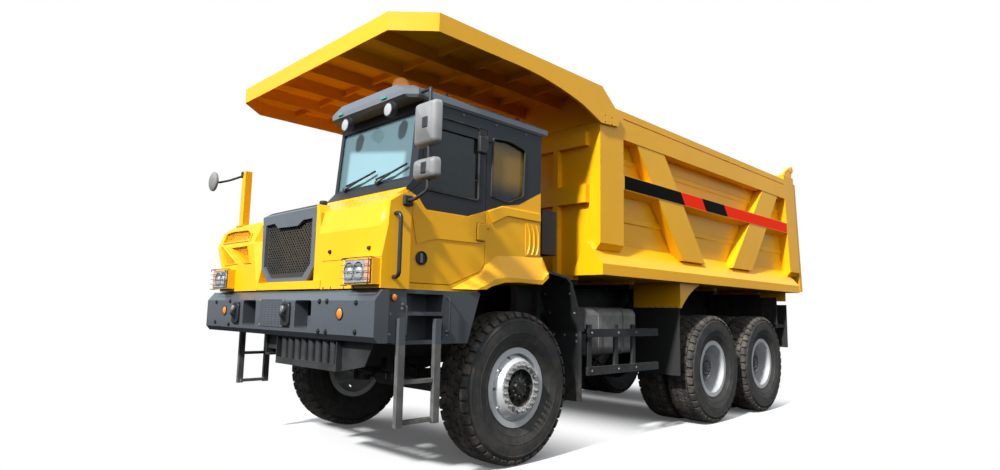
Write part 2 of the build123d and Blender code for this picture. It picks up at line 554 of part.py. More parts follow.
# ---- radiator grille: bevelled surround, stepped mouth and a sheet of diamond mesh ---------------
GRILLE_TOP = 2280
GRILLE_LOW = 1596
GRILLE_HALF = 515
GRILLE_MID_X = 19
GRILLE_X = (GRILLE_MID_X - GRILLE_HALF, GRILLE_MID_X + GRILLE_HALF)
GRILLE_OUTLINE = [(GRILLE_X[0] + 22, GRILLE_LOW + 136), (GRILLE_X[0] + 160, GRILLE_LOW),
                  (GRILLE_X[1] - 124, GRILLE_LOW), (GRILLE_X[1], GRILLE_LOW + 122),
                  (GRILLE_X[1], GRILLE_TOP - 30), (GRILLE_X[1] - 30, GRILLE_TOP),
                  (GRILLE_X[0] + 40, GRILLE_TOP), (GRILLE_X[0], GRILLE_TOP - 50)]
MOUTH_OUTLINE = [(-425, 1747), (-290, 1633), (340, 1633), (470, 1745), (470, 2144),
                 (308, 2142), (208, 2098), (-172, 2106), (-248, 2155), (-425, 2152)]
MESH_PITCH = 46
MESH_HOLE = 23
MESH_T = 8
with BuildPart() as grille:
    front_profile(GRILLE_OUTLINE, (GRILLE_Y, GRILLE_Y + GRILLE_DEPTH))
    side_profile([(GRILLE_Y - 1, GRILLE_TOP - 46), (GRILLE_Y + 70, GRILLE_TOP),
                  (GRILLE_Y + 70, GRILLE_TOP + 1), (GRILLE_Y - 1, GRILLE_TOP + 1)],
                 (GRILLE_X[0] - 10, GRILLE_X[1] + 10), Mode.SUBTRACT)
    front_profile(MOUTH_OUTLINE, (GRILLE_Y - 10, GRILLE_Y + GRILLE_DEPTH - 20), Mode.SUBTRACT)
    with BuildSketch(Plane.XZ.offset(-GRILLE_Y - 38)) as mesh_sheet:
        with BuildLine():
            Polyline(*MOUTH_OUTLINE, close=True)
        make_face()
        offset(amount=4, kind=Kind.INTERSECTION)
        with Locations((GRILLE_MID_X, (GRILLE_LOW + GRILLE_TOP) / 2 - 45)):
            for shift in (0, MESH_PITCH / 2):
                with Locations((shift, shift)):
                    with GridLocations(MESH_PITCH, MESH_PITCH, 19, 10):
                        Rectangle(MESH_HOLE, MESH_HOLE, rotation=45, mode=Mode.SUBTRACT)
    extrude(mesh_sheet.sketch, amount=MESH_T)
grille.part.label = "grille"
export_step(grille.part, "parts/grille.step")

# ---- hood over the engine, with the ledge and the fairing that frame the grille ------------------
HOOD_TOP = GRILLE_TOP - 20
HOOD_IN = GRILLE_Y + GRILLE_DEPTH + SEAT_GAP
HOOD_X = (GRILLE_X[0], CAB_IN_X - SEAT_GAP)
LEDGE_Z = (1526, GRILLE_LOW - SEAT_GAP)
# inner edge of the nose's front, from its foot up to the crease
NOSE_EDGE = [(NOSE_IN_X + 63, NOSE_LOW - 10), (NOSE_IN_X + 76, 1757), (NOSE_IN_X, CREASE_Z - 10)]
with BuildPart() as hood:
    front_profile([(HOOD_X[0], 1560), (HOOD_X[1], 1560), (HOOD_X[1], HOOD_TOP - 35),
                   (HOOD_X[1] - 60, HOOD_TOP), (HOOD_X[0] + 60, HOOD_TOP),
                   (HOOD_X[0], HOOD_TOP - 55)], (HOOD_IN, CAB_REAR_Y))
    front_profile([(HOOD_X[0] + 30, 1500), (HOOD_X[1] - 30, 1500), (HOOD_X[1] - 30, HOOD_TOP - 45),
                   (HOOD_X[0] + 60, HOOD_TOP - 35), (HOOD_X[0] + 30, HOOD_TOP - 75)],
                  (HOOD_IN + 40, CAB_REAR_Y + 10), Mode.SUBTRACT)
    block((HOOD_X[0], HOOD_X[1] - 60), (GRILLE_Y + 10, HOOD_IN + 20), LEDGE_Z)
    block((HOOD_X[0], NOSE_IN_X + 60), (GRILLE_Y - 22, GRILLE_Y + GRILLE_DEPTH), LEDGE_Z)
    fairing_in = GRILLE_X[1] + SEAT_GAP
    front_profile([(fairing_in, LEDGE_Z[0]), (NOSE_EDGE[0][0] - SEAT_GAP, LEDGE_Z[0]),
                   (NOSE_EDGE[1][0] - SEAT_GAP, NOSE_EDGE[1][1]),
                   (NOSE_EDGE[2][0] - SEAT_GAP, NOSE_EDGE[2][1]), (NOSE_IN_X - 30, 2180),
                   (fairing_in + 14, GRILLE_TOP - 22), (fairing_in, GRILLE_TOP - 22)],
                  (GRILLE_Y + 4, NOSE_BACK_Y - SEAT_GAP))
hood.part.label = "hood"
export_step(hood.part, "parts/hood.step")

# ---- right-hand equipment box with its mesh windows ----------------------------------------------
BOX_IN_X = -515
BOX_FOOT_X = -1404
BOX_OUT_X = -1544
BOX_TOP = 2204
BOX_WALL = 30
# (z, leg along X, leg along Y) of the inner front corner's bevel
BOX_BEVEL = ((1535, 1, 1), (2009, 140, 90), (2135, 96, 90), (BOX_TOP + 1, 40, 90))
BOX_WINDOWS = ([(-1400, 2043), (-756, 2038), (-744, 2096), (-857, 2141), (-1224, 2151),
                (-1374, 2138)],
               [(-1421, 1995), (-1389, 1995), (-996, 1805), (-1293, 1805)],
               [(-1158, 1971), (-766, 1971), (-680, 1809), (-815, 1809)])
with BuildPart() as right_box:
    front_profile([(BOX_IN_X, NOSE_LOW), (BOX_FOOT_X, NOSE_LOW), (BOX_FOOT_X, 1779),
                   (BOX_OUT_X, 2013), (BOX_OUT_X + 53, BOX_TOP - 57), (-1233, BOX_TOP),
                   (BOX_IN_X, BOX_TOP)], (NOSE_Y, CAB_REAR_Y))
    side_profile([(NOSE_Y - 1, CREASE_Z), (NOSE_Y, CREASE_Z), (NOSE_Y + NOSE_LEAN, CREASE_Z + 195),
                  (NOSE_Y + NOSE_LEAN + 10, BOX_TOP + 20), (NOSE_Y - 1, BOX_TOP + 20)],
                 (BOX_OUT_X - 5, BOX_IN_X + 5), Mode.SUBTRACT)
    box_in = BOX_IN_X - 155
    front_profile([(box_in, NOSE_LOW + BOX_WALL), (BOX_FOOT_X + BOX_WALL, NOSE_LOW + BOX_WALL),
                   (BOX_FOOT_X + BOX_WALL, 1785), (BOX_OUT_X + BOX_WALL, 2010),
                   (BOX_OUT_X + 74, BOX_TOP - 80), (-1228, BOX_TOP - BOX_WALL),
                   (box_in, BOX_TOP - BOX_WALL)],
                  (NOSE_Y + NOSE_LEAN + BOX_WALL, CAB_REAR_Y - BOX_WALL), Mode.SUBTRACT)
    for window in BOX_WINDOWS:
        front_profile(window, (NOSE_Y - 10, NOSE_Y + NOSE_LEAN + BOX_WALL + 10), Mode.SUBTRACT)
    loft([face_on(Plane.XY.offset(z), [(BOX_IN_X + 1, NOSE_Y - 1), (BOX_IN_X - leg_x, NOSE_Y - 1),
                                       (BOX_IN_X + 1, NOSE_Y + leg_y)])
          for z, leg_x, leg_y in BOX_BEVEL], ruled=True, mode=Mode.SUBTRACT)
    block(HEADLAMP_X[1], (NOSE_Y - HEADLAMP_REACH, NOSE_Y + BOX_WALL), HEADLAMP_Z)
right_box.part.label = "right_box"
export_step(right_box.part, "parts/right_box.step")

# ---- cab shell: one hollow body with its windows and door opening cut out ------------------------


def cab_outline(inset, front_y):
    """Side outline of the cab behind front_y, moved inward by inset."""
    knees = [(y + inset, z) for y, z in NOSE_SLOPE if y > front_y]
    return [(front_y + inset, NOSE_LOW + inset), (front_y + inset, slope_z(front_y)), *knees,
            (SCREEN_TOP[0] + inset, CAB_TOP - inset), (CAB_REAR_Y - inset, CAB_TOP - inset),
            (CAB_REAR_Y - inset, ARCH_TOP + inset), (FRONT_AXLE_Y - 430 - inset, ARCH_TOP + inset),
            (FRONT_AXLE_Y - 560, NOSE_LOW + inset)]


def door_outline(gap):
    """Side outline of the door, made smaller by gap all round."""
    return [(DOOR_FRONT_Y + gap, DOOR_LOW + gap), (DOOR_FRONT_Y + gap, BELT_Z - 40),
            (DOOR_FRONT_Y + 130 + gap, BELT_Z + 60), (DOOR_FRONT_Y + 160 + gap, DOOR_TOP - gap),
            (DOOR_REAR_Y - gap, DOOR_TOP - gap), (DOOR_REAR_Y - gap, DOOR_LOW + 203 + gap),
            (DOOR_REAR_Y - 60, DOOR_LOW + 128 + gap), (DOOR_REAR_Y - 390, DOOR_LOW + gap)]


SIDE_GLASS = [(DOOR_FRONT_Y + 215, BELT_Z + 30), (DOOR_FRONT_Y + 215, DOOR_TOP - 175),
              (DOOR_FRONT_Y + 330, DOOR_TOP - 105), (DOOR_REAR_Y - 90, DOOR_TOP - 105),
              (DOOR_REAR_Y - 90, BELT_Z + 20)]
QUARTER_GLASS = [(FRONT_AXLE_Y - 410, 2380), (FRONT_AXLE_Y - 395, 2915), (FRONT_AXLE_Y - 180, 2930),
                 (FRONT_AXLE_Y + 30, 2885), (FRONT_AXLE_Y + 15, 2440), (FRONT_AXLE_Y - 190, 2355)]
REAR_GLASS_X = (CAB_IN_X + 150, CAB_OUT_X - 150)
REAR_GLASS_Z = (2440, CAB_TOP - 142)
HINGE_LEAF = 90
HINGE_LEAF_R = 14
HINGE_PIN_R = 8
DOOR_HINGES_Z = (2000, 2780)
DOOR_HINGE = (CAB_OUT_X + HINGE_LEAF_R, DOOR_REAR_Y - 12)   # x, y of the upright hinge line
SCREEN_X = (CAB_IN_X + 45, CAB_OUT_X - 95)
SCREEN_Z = (SCREEN_LOW[1] + 15, CAB_TOP - 87)

# raised cheek beside the nose, and the bevel of its front corner
CHEEK_TOP_Y = NOSE_Y + 150
# (z, front face's set-back, bevel along X, bevel along Y)
CHEEK_BEVEL = ((CREASE_Z - 230, 0, 1, 1), (CREASE_Z, 0, 40, 50),
               (CREASE_Z + 195, NOSE_LEAN, 60, 15), (CREASE_Z + 343, 270, 60, 15))
# flared skirt over the wheel: root on the cab's side and lip, as (y from the front axle, z)
SKIRT_OUT_X = 1590
SKIRT_ROOT = ((-851, 1544), (-525, 1688), (-467, 1760), (-322, 1858), (289, 1890), (376, 1760),
              (376, 1690), (293, 1627), (-15, 1634), (-213, 1624), (-376, 1584), (-440, 1552))
SKIRT_LIP = ((-640, 1544), (-490, 1606), (-420, 1642), (-300, 1664), (200, 1664), (285, 1735),
             (285, 1689), (195, 1622), (-110, 1630), (-300, 1620), (-460, 1580), (-530, 1550))
LOUVRE_Y = (FRONT_AXLE_Y + 72, FRONT_AXLE_Y + 232)
with BuildPart() as cab_shell:
    side_profile(cab_outline(0, NOSE_BACK_Y), (CAB_IN_X, CAB_OUT_X))
    side_profile(cab_outline(0, NOSE_Y), (NOSE_IN_X, CAB_OUT_X))
    front_profile([(NOSE_IN_X - 1, NOSE_LOW - 10), *NOSE_EDGE, (NOSE_IN_X - 1, CREASE_Z - 10)],
                  (NOSE_Y - 1, NOSE_BACK_Y), Mode.SUBTRACT)
    side_profile([(NOSE_Y, NOSE_LOW), (NOSE_Y, CREASE_Z), NOSE_SLOPE[1],
                  (CHEEK_TOP_Y, slope_z(CHEEK_TOP_Y)), (DOOR_FRONT_Y, slope_z(CHEEK_TOP_Y) + 25),
                  (DOOR_FRONT_Y, NOSE_LOW)], (CAB_OUT_X - CAB_WALL, NOSE_OUT_X))
    loft([face_on(Plane.XY.offset(z),
                  [(NOSE_OUT_X - leg_x, NOSE_Y + back - 1), (NOSE_OUT_X + 2, NOSE_Y + back - 1),
                   (NOSE_OUT_X + 2, NOSE_Y + back + leg_y)])
          for z, back, leg_x, leg_y in CHEEK_BEVEL], ruled=True, mode=Mode.SUBTRACT)
    block(HEADLAMP_X[0], (NOSE_Y - HEADLAMP_REACH, NOSE_Y + CAB_WALL), HEADLAMP_Z)
    loft([face_on(Plane.YZ.offset(x), [(FRONT_AXLE_Y + y, z) for y, z in outline])
          for x, outline in ((CAB_OUT_X, SKIRT_ROOT), (SKIRT_OUT_X, SKIRT_LIP))], ruled=True)
    side_profile(cab_outline(CAB_WALL, NOSE_BACK_Y), (CAB_IN_X + CAB_WALL, CAB_OUT_X - CAB_WALL),
                 Mode.SUBTRACT)
    side_profile(cab_outline(CAB_WALL, NOSE_Y), (NOSE_IN_X + NOSE_WALL, CAB_OUT_X - CAB_WALL),
                 Mode.SUBTRACT)
    side_profile(door_outline(0), (CAB_OUT_X - 2 * CAB_WALL, CAB_OUT_X + 10), Mode.SUBTRACT)
    side_profile(QUARTER_GLASS, (CAB_IN_X - 10, CAB_OUT_X + 10), Mode.SUBTRACT)
    block(SCREEN_X, (NOSE_Y, SCREEN_TOP[0] + 200), SCREEN_Z, Mode.SUBTRACT)
    block(REAR_GLASS_X, (CAB_REAR_Y - 100, CAB_REAR_Y + 10), REAR_GLASS_Z, Mode.SUBTRACT)
    for z in (1905, 2015, 2125):
        side_profile([(LOUVRE_Y[0], z), (LOUVRE_Y[1], z + 26), (LOUVRE_Y[1] + 14, z + 76),
                      (LOUVRE_Y[0], z + 44)], (CAB_OUT_X - 20, CAB_OUT_X + 10), Mode.SUBTRACT)
    # fixed halves of the door hinges, each with its pin
    for z in DOOR_HINGES_Z:
        pin_x, pin_y = DOOR_HINGE
        shaft_z(pin_x, pin_y, (z + HINGE_LEAF + SEAT_GAP, z + HINGE_LEAF + 40), HINGE_LEAF_R)
        shaft_z(pin_x, pin_y, (z, z + HINGE_LEAF + 10), HINGE_PIN_R)
        block((CAB_OUT_X, pin_x), (pin_y, DOOR_REAR_Y + 50),
              (z + HINGE_LEAF + SEAT_GAP, z + HINGE_LEAF + 40))
cab_shell.part.label = "cab_shell"
export_step(cab_shell.part, "parts/cab_shell.step")

# ---- cab roof: visor fascia and crown ------------------------------------------------------------
ROOF_FRONT_Y = FRONT_AXLE_Y - 1350
ROOF_REAR_Y = FRONT_AXLE_Y + 337
ROOF_LOW = CAB_TOP + SEAT_GAP
ROOF_TOP = CAB_TOP + 132
ROOF_SIDE = 20              # overhang past the cab's side
# (z, set back at the front, at the rear, at each side, corner cut)
ROOF_LEVELS = ((ROOF_LOW, 28, 60, ROOF_SIDE - 8, 60), (CAB_TOP + 23, 0, 7, 0, 80),
               (CAB_TOP + 70, 0, 0, 0, 80), (ROOF_TOP, 8, 137, 110, 110))
with BuildPart() as cab_roof:
    levels = []
    for z, front, rear, inward, cut in ROOF_LEVELS:
        x_in = CAB_IN_X - ROOF_SIDE + inward
        x_out = CAB_OUT_X + ROOF_SIDE - inward
        y_in = ROOF_FRONT_Y + front
        y_out = ROOF_REAR_Y - rear
        levels.append(face_on(Plane.XY.offset(z), [(x_in + cut, y_in), (x_out - cut, y_in),
                                                   (x_out, y_in + cut), (x_out, y_out),
                                                   (x_in, y_out), (x_in, y_in + cut)]))
    loft(levels, ruled=True)
cab_roof.part.label = "cab_roof"
export_step(cab_roof.part, "parts/cab_roof.step")

# ---- fixed glass ---------------------------------------------------------------------------------
GLASS_T = 8
SCREEN_LEAN = (SCREEN_TOP[0] - SCREEN_LOW[0]) / (CAB_TOP - SCREEN_LOW[1])
with BuildPart() as cab_glass:
    y_low = SCREEN_LOW[0] + SCREEN_LEAN * (SCREEN_Z[0] - SCREEN_LOW[1]) + 15
    y_top = SCREEN_LOW[0] + SCREEN_LEAN * (SCREEN_Z[1] - SCREEN_LOW[1]) + 15
    side_profile([(y_low, SCREEN_Z[0]), (y_top, SCREEN_Z[1]), (y_top + GLASS_T, SCREEN_Z[1]),
                  (y_low + GLASS_T, SCREEN_Z[0])], SCREEN_X)
    side_profile(QUARTER_GLASS, (CAB_OUT_X - 30, CAB_OUT_X - 30 + GLASS_T))
    side_profile(QUARTER_GLASS, (CAB_IN_X + 20, CAB_IN_X + 20 + GLASS_T))
    block(REAR_GLASS_X, (CAB_REAR_Y - 30, CAB_REAR_Y - 30 + GLASS_T), REAR_GLASS_Z)
cab_glass.part.label = "cab_glass"
export_step(cab_glass.part, "parts/cab_glass.step")

# ---- cab door, hinged at its rear edge, with its raised waist panel ------------------------------
WAIST_T = 7
# (y from the door's front edge, z)
WAIST = ((106, 1880), (230, 1925), (330, 1944), (820, 1950), (820, 2240), (650, 2164), (205, 2164),
         (150, 2195), (80, 2270), (50, 2120))
with BuildPart() as door_panel:
    side_profile(door_outline(DOOR_GAP), (CAB_OUT_X - DOOR_T, CAB_OUT_X))
    side_profile([(DOOR_FRONT_Y + y, z) for y, z in WAIST], (CAB_OUT_X - 1, CAB_OUT_X + WAIST_T))
    side_profile(SIDE_GLASS, (CAB_OUT_X - 60, CAB_OUT_X + 10), Mode.SUBTRACT)
    for z in DOOR_HINGES_Z:
        pin_x, pin_y = DOOR_HINGE
        shaft_z(pin_x, pin_y, (z, z + HINGE_LEAF), HINGE_LEAF_R)
        block((CAB_OUT_X - 5, pin_x), (pin_y - 60, pin_y), (z, z + HINGE_LEAF))
        shaft_z(pin_x, pin_y, (z - 5, z + HINGE_LEAF + 5), HINGE_PIN_R + RUN_GAP, Mode.SUBTRACT)
door_panel.part.label = "door_panel"
export_step(door_panel.part, "parts/door_panel.step")

with BuildPart() as door_glass:
    side_profile(SIDE_GLASS, (CAB_OUT_X - 28, CAB_OUT_X - 28 + GLASS_T))
door_glass.part.label = "door_glass"
export_step(door_glass.part, "parts/door_glass.step")

# ---- seat and controls ---------------------------------------------------------------------------
CAB_FLOOR = ARCH_TOP + CAB_WALL
with BuildPart() as driver_seat:
    block((CAB_MID_X - 180, CAB_MID_X + 180), (FRONT_AXLE_Y - 420, FRONT_AXLE_Y - 60),
          (CAB_FLOOR, CAB_FLOOR + 330))
    block((CAB_MID_X - 250, CAB_MID_X + 250), (FRONT_AXLE_Y - 500, FRONT_AXLE_Y),
          (CAB_FLOOR + 330, CAB_FLOOR + 460))
    side_profile([(FRONT_AXLE_Y - 90, CAB_FLOOR + 400), (FRONT_AXLE_Y + 40, CAB_FLOOR + 1080),
                  (FRONT_AXLE_Y + 130, CAB_FLOOR + 1080), (FRONT_AXLE_Y + 40, CAB_FLOOR + 400)],
                 (CAB_MID_X - 230, CAB_MID_X + 230))
driver_seat.part.label = "driver_seat"
export_step(driver_seat.part, "parts/driver_seat.step")

STEER_R = 210
STEER_RIM_R = 16
with BuildPart() as dashboard:
    dash_y = NOSE_BACK_Y + CAB_WALL
    side_profile([(dash_y, NOSE_LOW + CAB_WALL), (dash_y, slope_z(dash_y) - CAB_WALL * 1.5),
                  (dash_y + 190, BELT_Z + 20), (dash_y + 320, BELT_Z + 70), (dash_y + 410, BELT_Z - 20),
                  (dash_y + 270, BELT_Z - 420), (dash_y + 270, NOSE_LOW + CAB_WALL)],
                 (CAB_IN_X + CAB_WALL, CAB_OUT_X - 2 * CAB_WALL))
    wheel_plane = Plane(origin=(CAB_MID_X, NOSE_Y + 700, BELT_Z + 110), z_dir=(0, 0.6, 0.8))
    with Locations(wheel_plane):
        Torus(STEER_R, STEER_RIM_R)
        Cylinder(STEER_RIM_R, 260, align=(Align.CENTER, Align.CENTER, Align.MAX))
        Box(2 * STEER_R - 20, 34, STEER_RIM_R)
dashboard.part.label = "dashboard"
export_step(dashboard.part, "parts/dashboard.step")

# ---- front mudguards: sloping panel and flap behind each steered wheel, on a post from the frame ----
GUARD_IN_X = 1090
GUARD_OUT_X = 1530
FLAP_OUT_X = 1500
GUARD_POST_Y = (FRONT_AXLE_Y + 640, FRONT_AXLE_Y + 700)
# (y from the front axle, z) down the outside of the panel and back up its inside
GUARD_PANEL = ((385, 1762), (640, 1724), (722, 1662), (925, 1190), (905, 1180), (700, 1650),
               (630, 1702), (385, 1740))
with BuildPart() as front_mudguards:
    for side in (-1, 1):
        side_profile([(FRONT_AXLE_Y + y, z) for y, z in GUARD_PANEL],
                     both(side, GUARD_IN_X, GUARD_OUT_X))
        block(both(side, GUARD_IN_X, FLAP_OUT_X), (FRONT_AXLE_Y + 905, FRONT_AXLE_Y + 920),
              (480, 1190))
        block(both(side, RAIL_X, GUARD_IN_X), GUARD_POST_Y, (RAIL_TOP - 60, RAIL_TOP))
        block(both(side, GUARD_IN_X - 40, GUARD_IN_X + 40), GUARD_POST_Y, (RAIL_TOP - 60, 1690))
front_mudguards.part.label = "front_mudguards"
export_step(front_mudguards.part, "parts/front_mudguards.step")

# ---- boxes in front of the front wheels, with the step recess ------------------------------------
STEP_OUT_X = 1550
STEP_IN_X = 1310
STEP_PLATE = 30
STEP_FRONT_Y = FRONT_AXLE_Y - 1336
STEP_REAR_Y = FRONT_AXLE_Y - 970
STEP_BOX_Y = BUMPER_BACK_Y + SEAT_GAP
with BuildPart() as step_boxes:
    for side in (-1, 1):
        side_profile([(STEP_BOX_Y, BUMPER_LOW + 10), (STEP_BOX_Y, NOSE_LOW - SEAT_GAP),
                      (FRONT_AXLE_Y - 560, NOSE_LOW - SEAT_GAP),
                      (FRONT_AXLE_Y - 700, BUMPER_LOW - 18), (STEP_FRONT_Y - 60, BUMPER_LOW - 18)],
                     both(side, STEP_IN_X, STEP_OUT_X))
        block(both(side, STEP_IN_X + 25, STEP_OUT_X + 5), (STEP_FRONT_Y, STEP_REAR_Y),
              (BUMPER_LOW - 68, NOSE_LOW - 32), Mode.SUBTRACT)
        for z in (BUMPER_LOW - 16, BUMPER_LOW + 204):
            block(both(side, STEP_IN_X + 20, STEP_OUT_X), (STEP_FRONT_Y, STEP_REAR_Y),
                  (z, z + STEP_PLATE))
        # carrier from the rail
        block(both(side, RAIL_X, STEP_IN_X), (FRONT_AXLE_Y - 1440, FRONT_AXLE_Y - 1360),
              (RAIL_TOP - 120, RAIL_TOP - 40))
step_boxes.part.label = "step_boxes"
export_step(step_boxes.part, "parts/step_boxes.step")

# ---- hanging ladders and the grab rail on the nose -----------------------------------------------
LADDER_RAIL = 60
LADDER_TREAD = 30
# (side, first rail's y from the front axle, rail spacing, foot z)
LADDERS = ((1, -1425, 350, 500), (-1, -1270, 290, 535))
GRAB_R = 16
GRAB_REACH = 70
GRAB_Y = FRONT_AXLE_Y - 1480
GRAB_Z = (1608, 2090)
with BuildPart() as ladders:
    for side, first, spacing, foot_z in LADDERS:
        for y in (FRONT_AXLE_Y + first, FRONT_AXLE_Y + first + spacing):
            block(both(side, STEP_OUT_X + SEAT_GAP, STEP_OUT_X + 40), (y, y + LADDER_RAIL),
                  (foot_z, RAIL_TOP))
        for z in (foot_z + 12, foot_z + 310):
            block(both(side, STEP_OUT_X - 30, STEP_OUT_X + 25),
                  (FRONT_AXLE_Y + first + 25, FRONT_AXLE_Y + first + spacing + LADDER_RAIL - 15),
                  (z, z + LADDER_TREAD))
    foot_x = NOSE_OUT_X + SEAT_GAP
    tube([(foot_x, GRAB_Y, GRAB_Z[1]), (foot_x + GRAB_REACH, GRAB_Y, GRAB_Z[1]),
          (foot_x + GRAB_REACH, GRAB_Y, GRAB_Z[0]), (foot_x, GRAB_Y, GRAB_Z[0])],
         GRAB_R, GRAB_REACH * 0.6)
ladders.part.label = "ladders"
export_step(ladders.part, "parts/ladders.step")

# ---- side guards, bolted under the frame between the axles ---------------------------------------
GUARD_X = 1490
GUARD_RAIL = 85
GUARD_T = 30
GUARD_FRONT_Y = FRONT_AXLE_Y + 1000
GUARD_REAR_Y = FRONT_AXLE_Y + 2360
GUARD_LOW_Z = 735
GUARD_TOP_Z = 1120
with BuildPart() as side_guards:
    for side in (-1, 1):
        for z in (GUARD_LOW_Z, GUARD_TOP_Z):
            block(both(side, GUARD_X, GUARD_X + GUARD_T), (GUARD_FRONT_Y, GUARD_REAR_Y),
                  (z, z + GUARD_RAIL))
        for y in (GUARD_FRONT_Y + 40, GUARD_FRONT_Y + 520, GUARD_FRONT_Y + 860):
            block(both(side, GUARD_X - GUARD_T, GUARD_X), (y, y + 60), (GUARD_LOW_Z, GUARD_TOP_Z + 130))
        for y in (GUARD_FRONT_Y + 60, GUARD_REAR_Y - 70):
            block(both(side, RAIL_X, GUARD_X), (y, y + 50), (GUARD_TOP_Z + 30, GUARD_TOP_Z + 80))
side_guards.part.label = "side_guards"
export_step(side_guards.part, "parts/side_guards.step")

# ---- fuel and hydraulic tanks with their straps --------------------------------------------------
TANK_IN_X = 760
TANK_OUT_X = 1290
TANK_Y = (FRONT_AXLE_Y + 1290, FRONT_AXLE_Y + 2230)
TANK_Z = (910, 1430)
TANK_R = 90
STRAP_W = 60
STRAP_T = 8
with BuildPart() as side_tanks:
    tank_w = TANK_OUT_X - TANK_IN_X
    tank_h = TANK_Z[1] - TANK_Z[0]
    for side in (-1, 1):
        # (front y, length, how far proud of the tank)
        for y, length, proud in ((TANK_Y[0], TANK_Y[1] - TANK_Y[0], 0),
                                 (TANK_Y[0] + 200, STRAP_W, STRAP_T),
                                 (TANK_Y[1] - 260, STRAP_W, STRAP_T)):
            with BuildSketch(Plane.XZ.offset(-y - length)) as section:
                with Locations((side * (TANK_IN_X + TANK_OUT_X) / 2, (TANK_Z[0] + TANK_Z[1]) / 2)):
                    RectangleRounded(tank_w + 2 * proud, tank_h + 2 * proud, TANK_R + proud)
            extrude(section.sketch, amount=length)
        for y in (TANK_Y[0] + 200, TANK_Y[1] - 260):
            block(both(side, RAIL_X, TANK_IN_X + 40), (y, y + STRAP_W), (TANK_Z[0] + 40, TANK_Z[0] + 170))
side_tanks.part.label = "side_tanks"
export_step(side_tanks.part, "parts/side_tanks.step")

# ---- air filter box behind the cab ---------------------------------------------------------------
AIR_BOX_Y = (FRONT_AXLE_Y + 400, FRONT_AXLE_Y + 645)
AIR_BOX_Z = (1940, 2380)
with BuildPart() as air_box:
    block((CAB_IN_X + 500, CAB_OUT_X - 100), AIR_BOX_Y, AIR_BOX_Z)
    block((CAB_IN_X + 560, CAB_OUT_X - 300), (CAB_REAR_Y, AIR_BOX_Y[0]),
          (AIR_BOX_Z[0] + 120, AIR_BOX_Z[1] - 120))
    fillet(air_box.edges().filter_by(Axis.Z).group_by(Axis.Y)[-1], 35)
air_box.part.label = "air_box"
export_step(air_box.part, "parts/air_box.step")

# ---- lamps: headlamps, round lamps on the bumper, work and marker lamps on the roof, beacon ------
ROUND_LAMPS_X = (-1106, 1106)
ROUND_LAMP_R = 48
WORK_LAMPS_X = (600, 1255)
WORK_LAMP_R = 60
WORK_LAMP_Z = ROOF_LOW - 76
MARKERS_X = (480, 1155)
BEACON = (CAB_IN_X + 625, FRONT_AXLE_Y - 1000)
# (radius, z above the roof) up the outside of the beacon
BEACON_SIDE = ((0.01, 0), (62, 0), (62, 120), (84, 148), (84, 205), (58, 252), (0.01, 263))
with BuildPart() as lamps:
    for x in HEADLAMP_X:
        block((x[0] + 14, x[1] - 14), (NOSE_Y - HEADLAMP_REACH - 16, NOSE_Y - HEADLAMP_REACH),
              (HEADLAMP_Z[0] + 14, HEADLAMP_Z[1] - 14))
    for x in ROUND_LAMPS_X:
        shaft_y(x, (BUMPER_Y - 10, BUMPER_Y), 1326, ROUND_LAMP_R)
    for x in WORK_LAMPS_X:
        shaft_y(x, (ROOF_FRONT_Y - 23, ROOF_FRONT_Y + 47), WORK_LAMP_Z, WORK_LAMP_R)
        block((x - 20, x + 20), (ROOF_FRONT_Y + 12, ROOF_FRONT_Y + 46),
              (WORK_LAMP_Z + WORK_LAMP_R - 6, ROOF_LOW - SEAT_GAP))
    for x in MARKERS_X:
        block((x - 36, x + 36), (ROOF_FRONT_Y - 12, ROOF_FRONT_Y - SEAT_GAP), (3110, 3136))
    beacon_side = face_on(Plane(origin=(BEACON[0], BEACON[1], ROOF_TOP), x_dir=(1, 0, 0),
                                z_dir=(0, -1, 0)), BEACON_SIDE)
    revolve(beacon_side, axis=Axis((BEACON[0], BEACON[1], 0), (0, 0, 1)))
lamps.part.label = "lamps"
export_step(lamps.part, "parts/lamps.step")

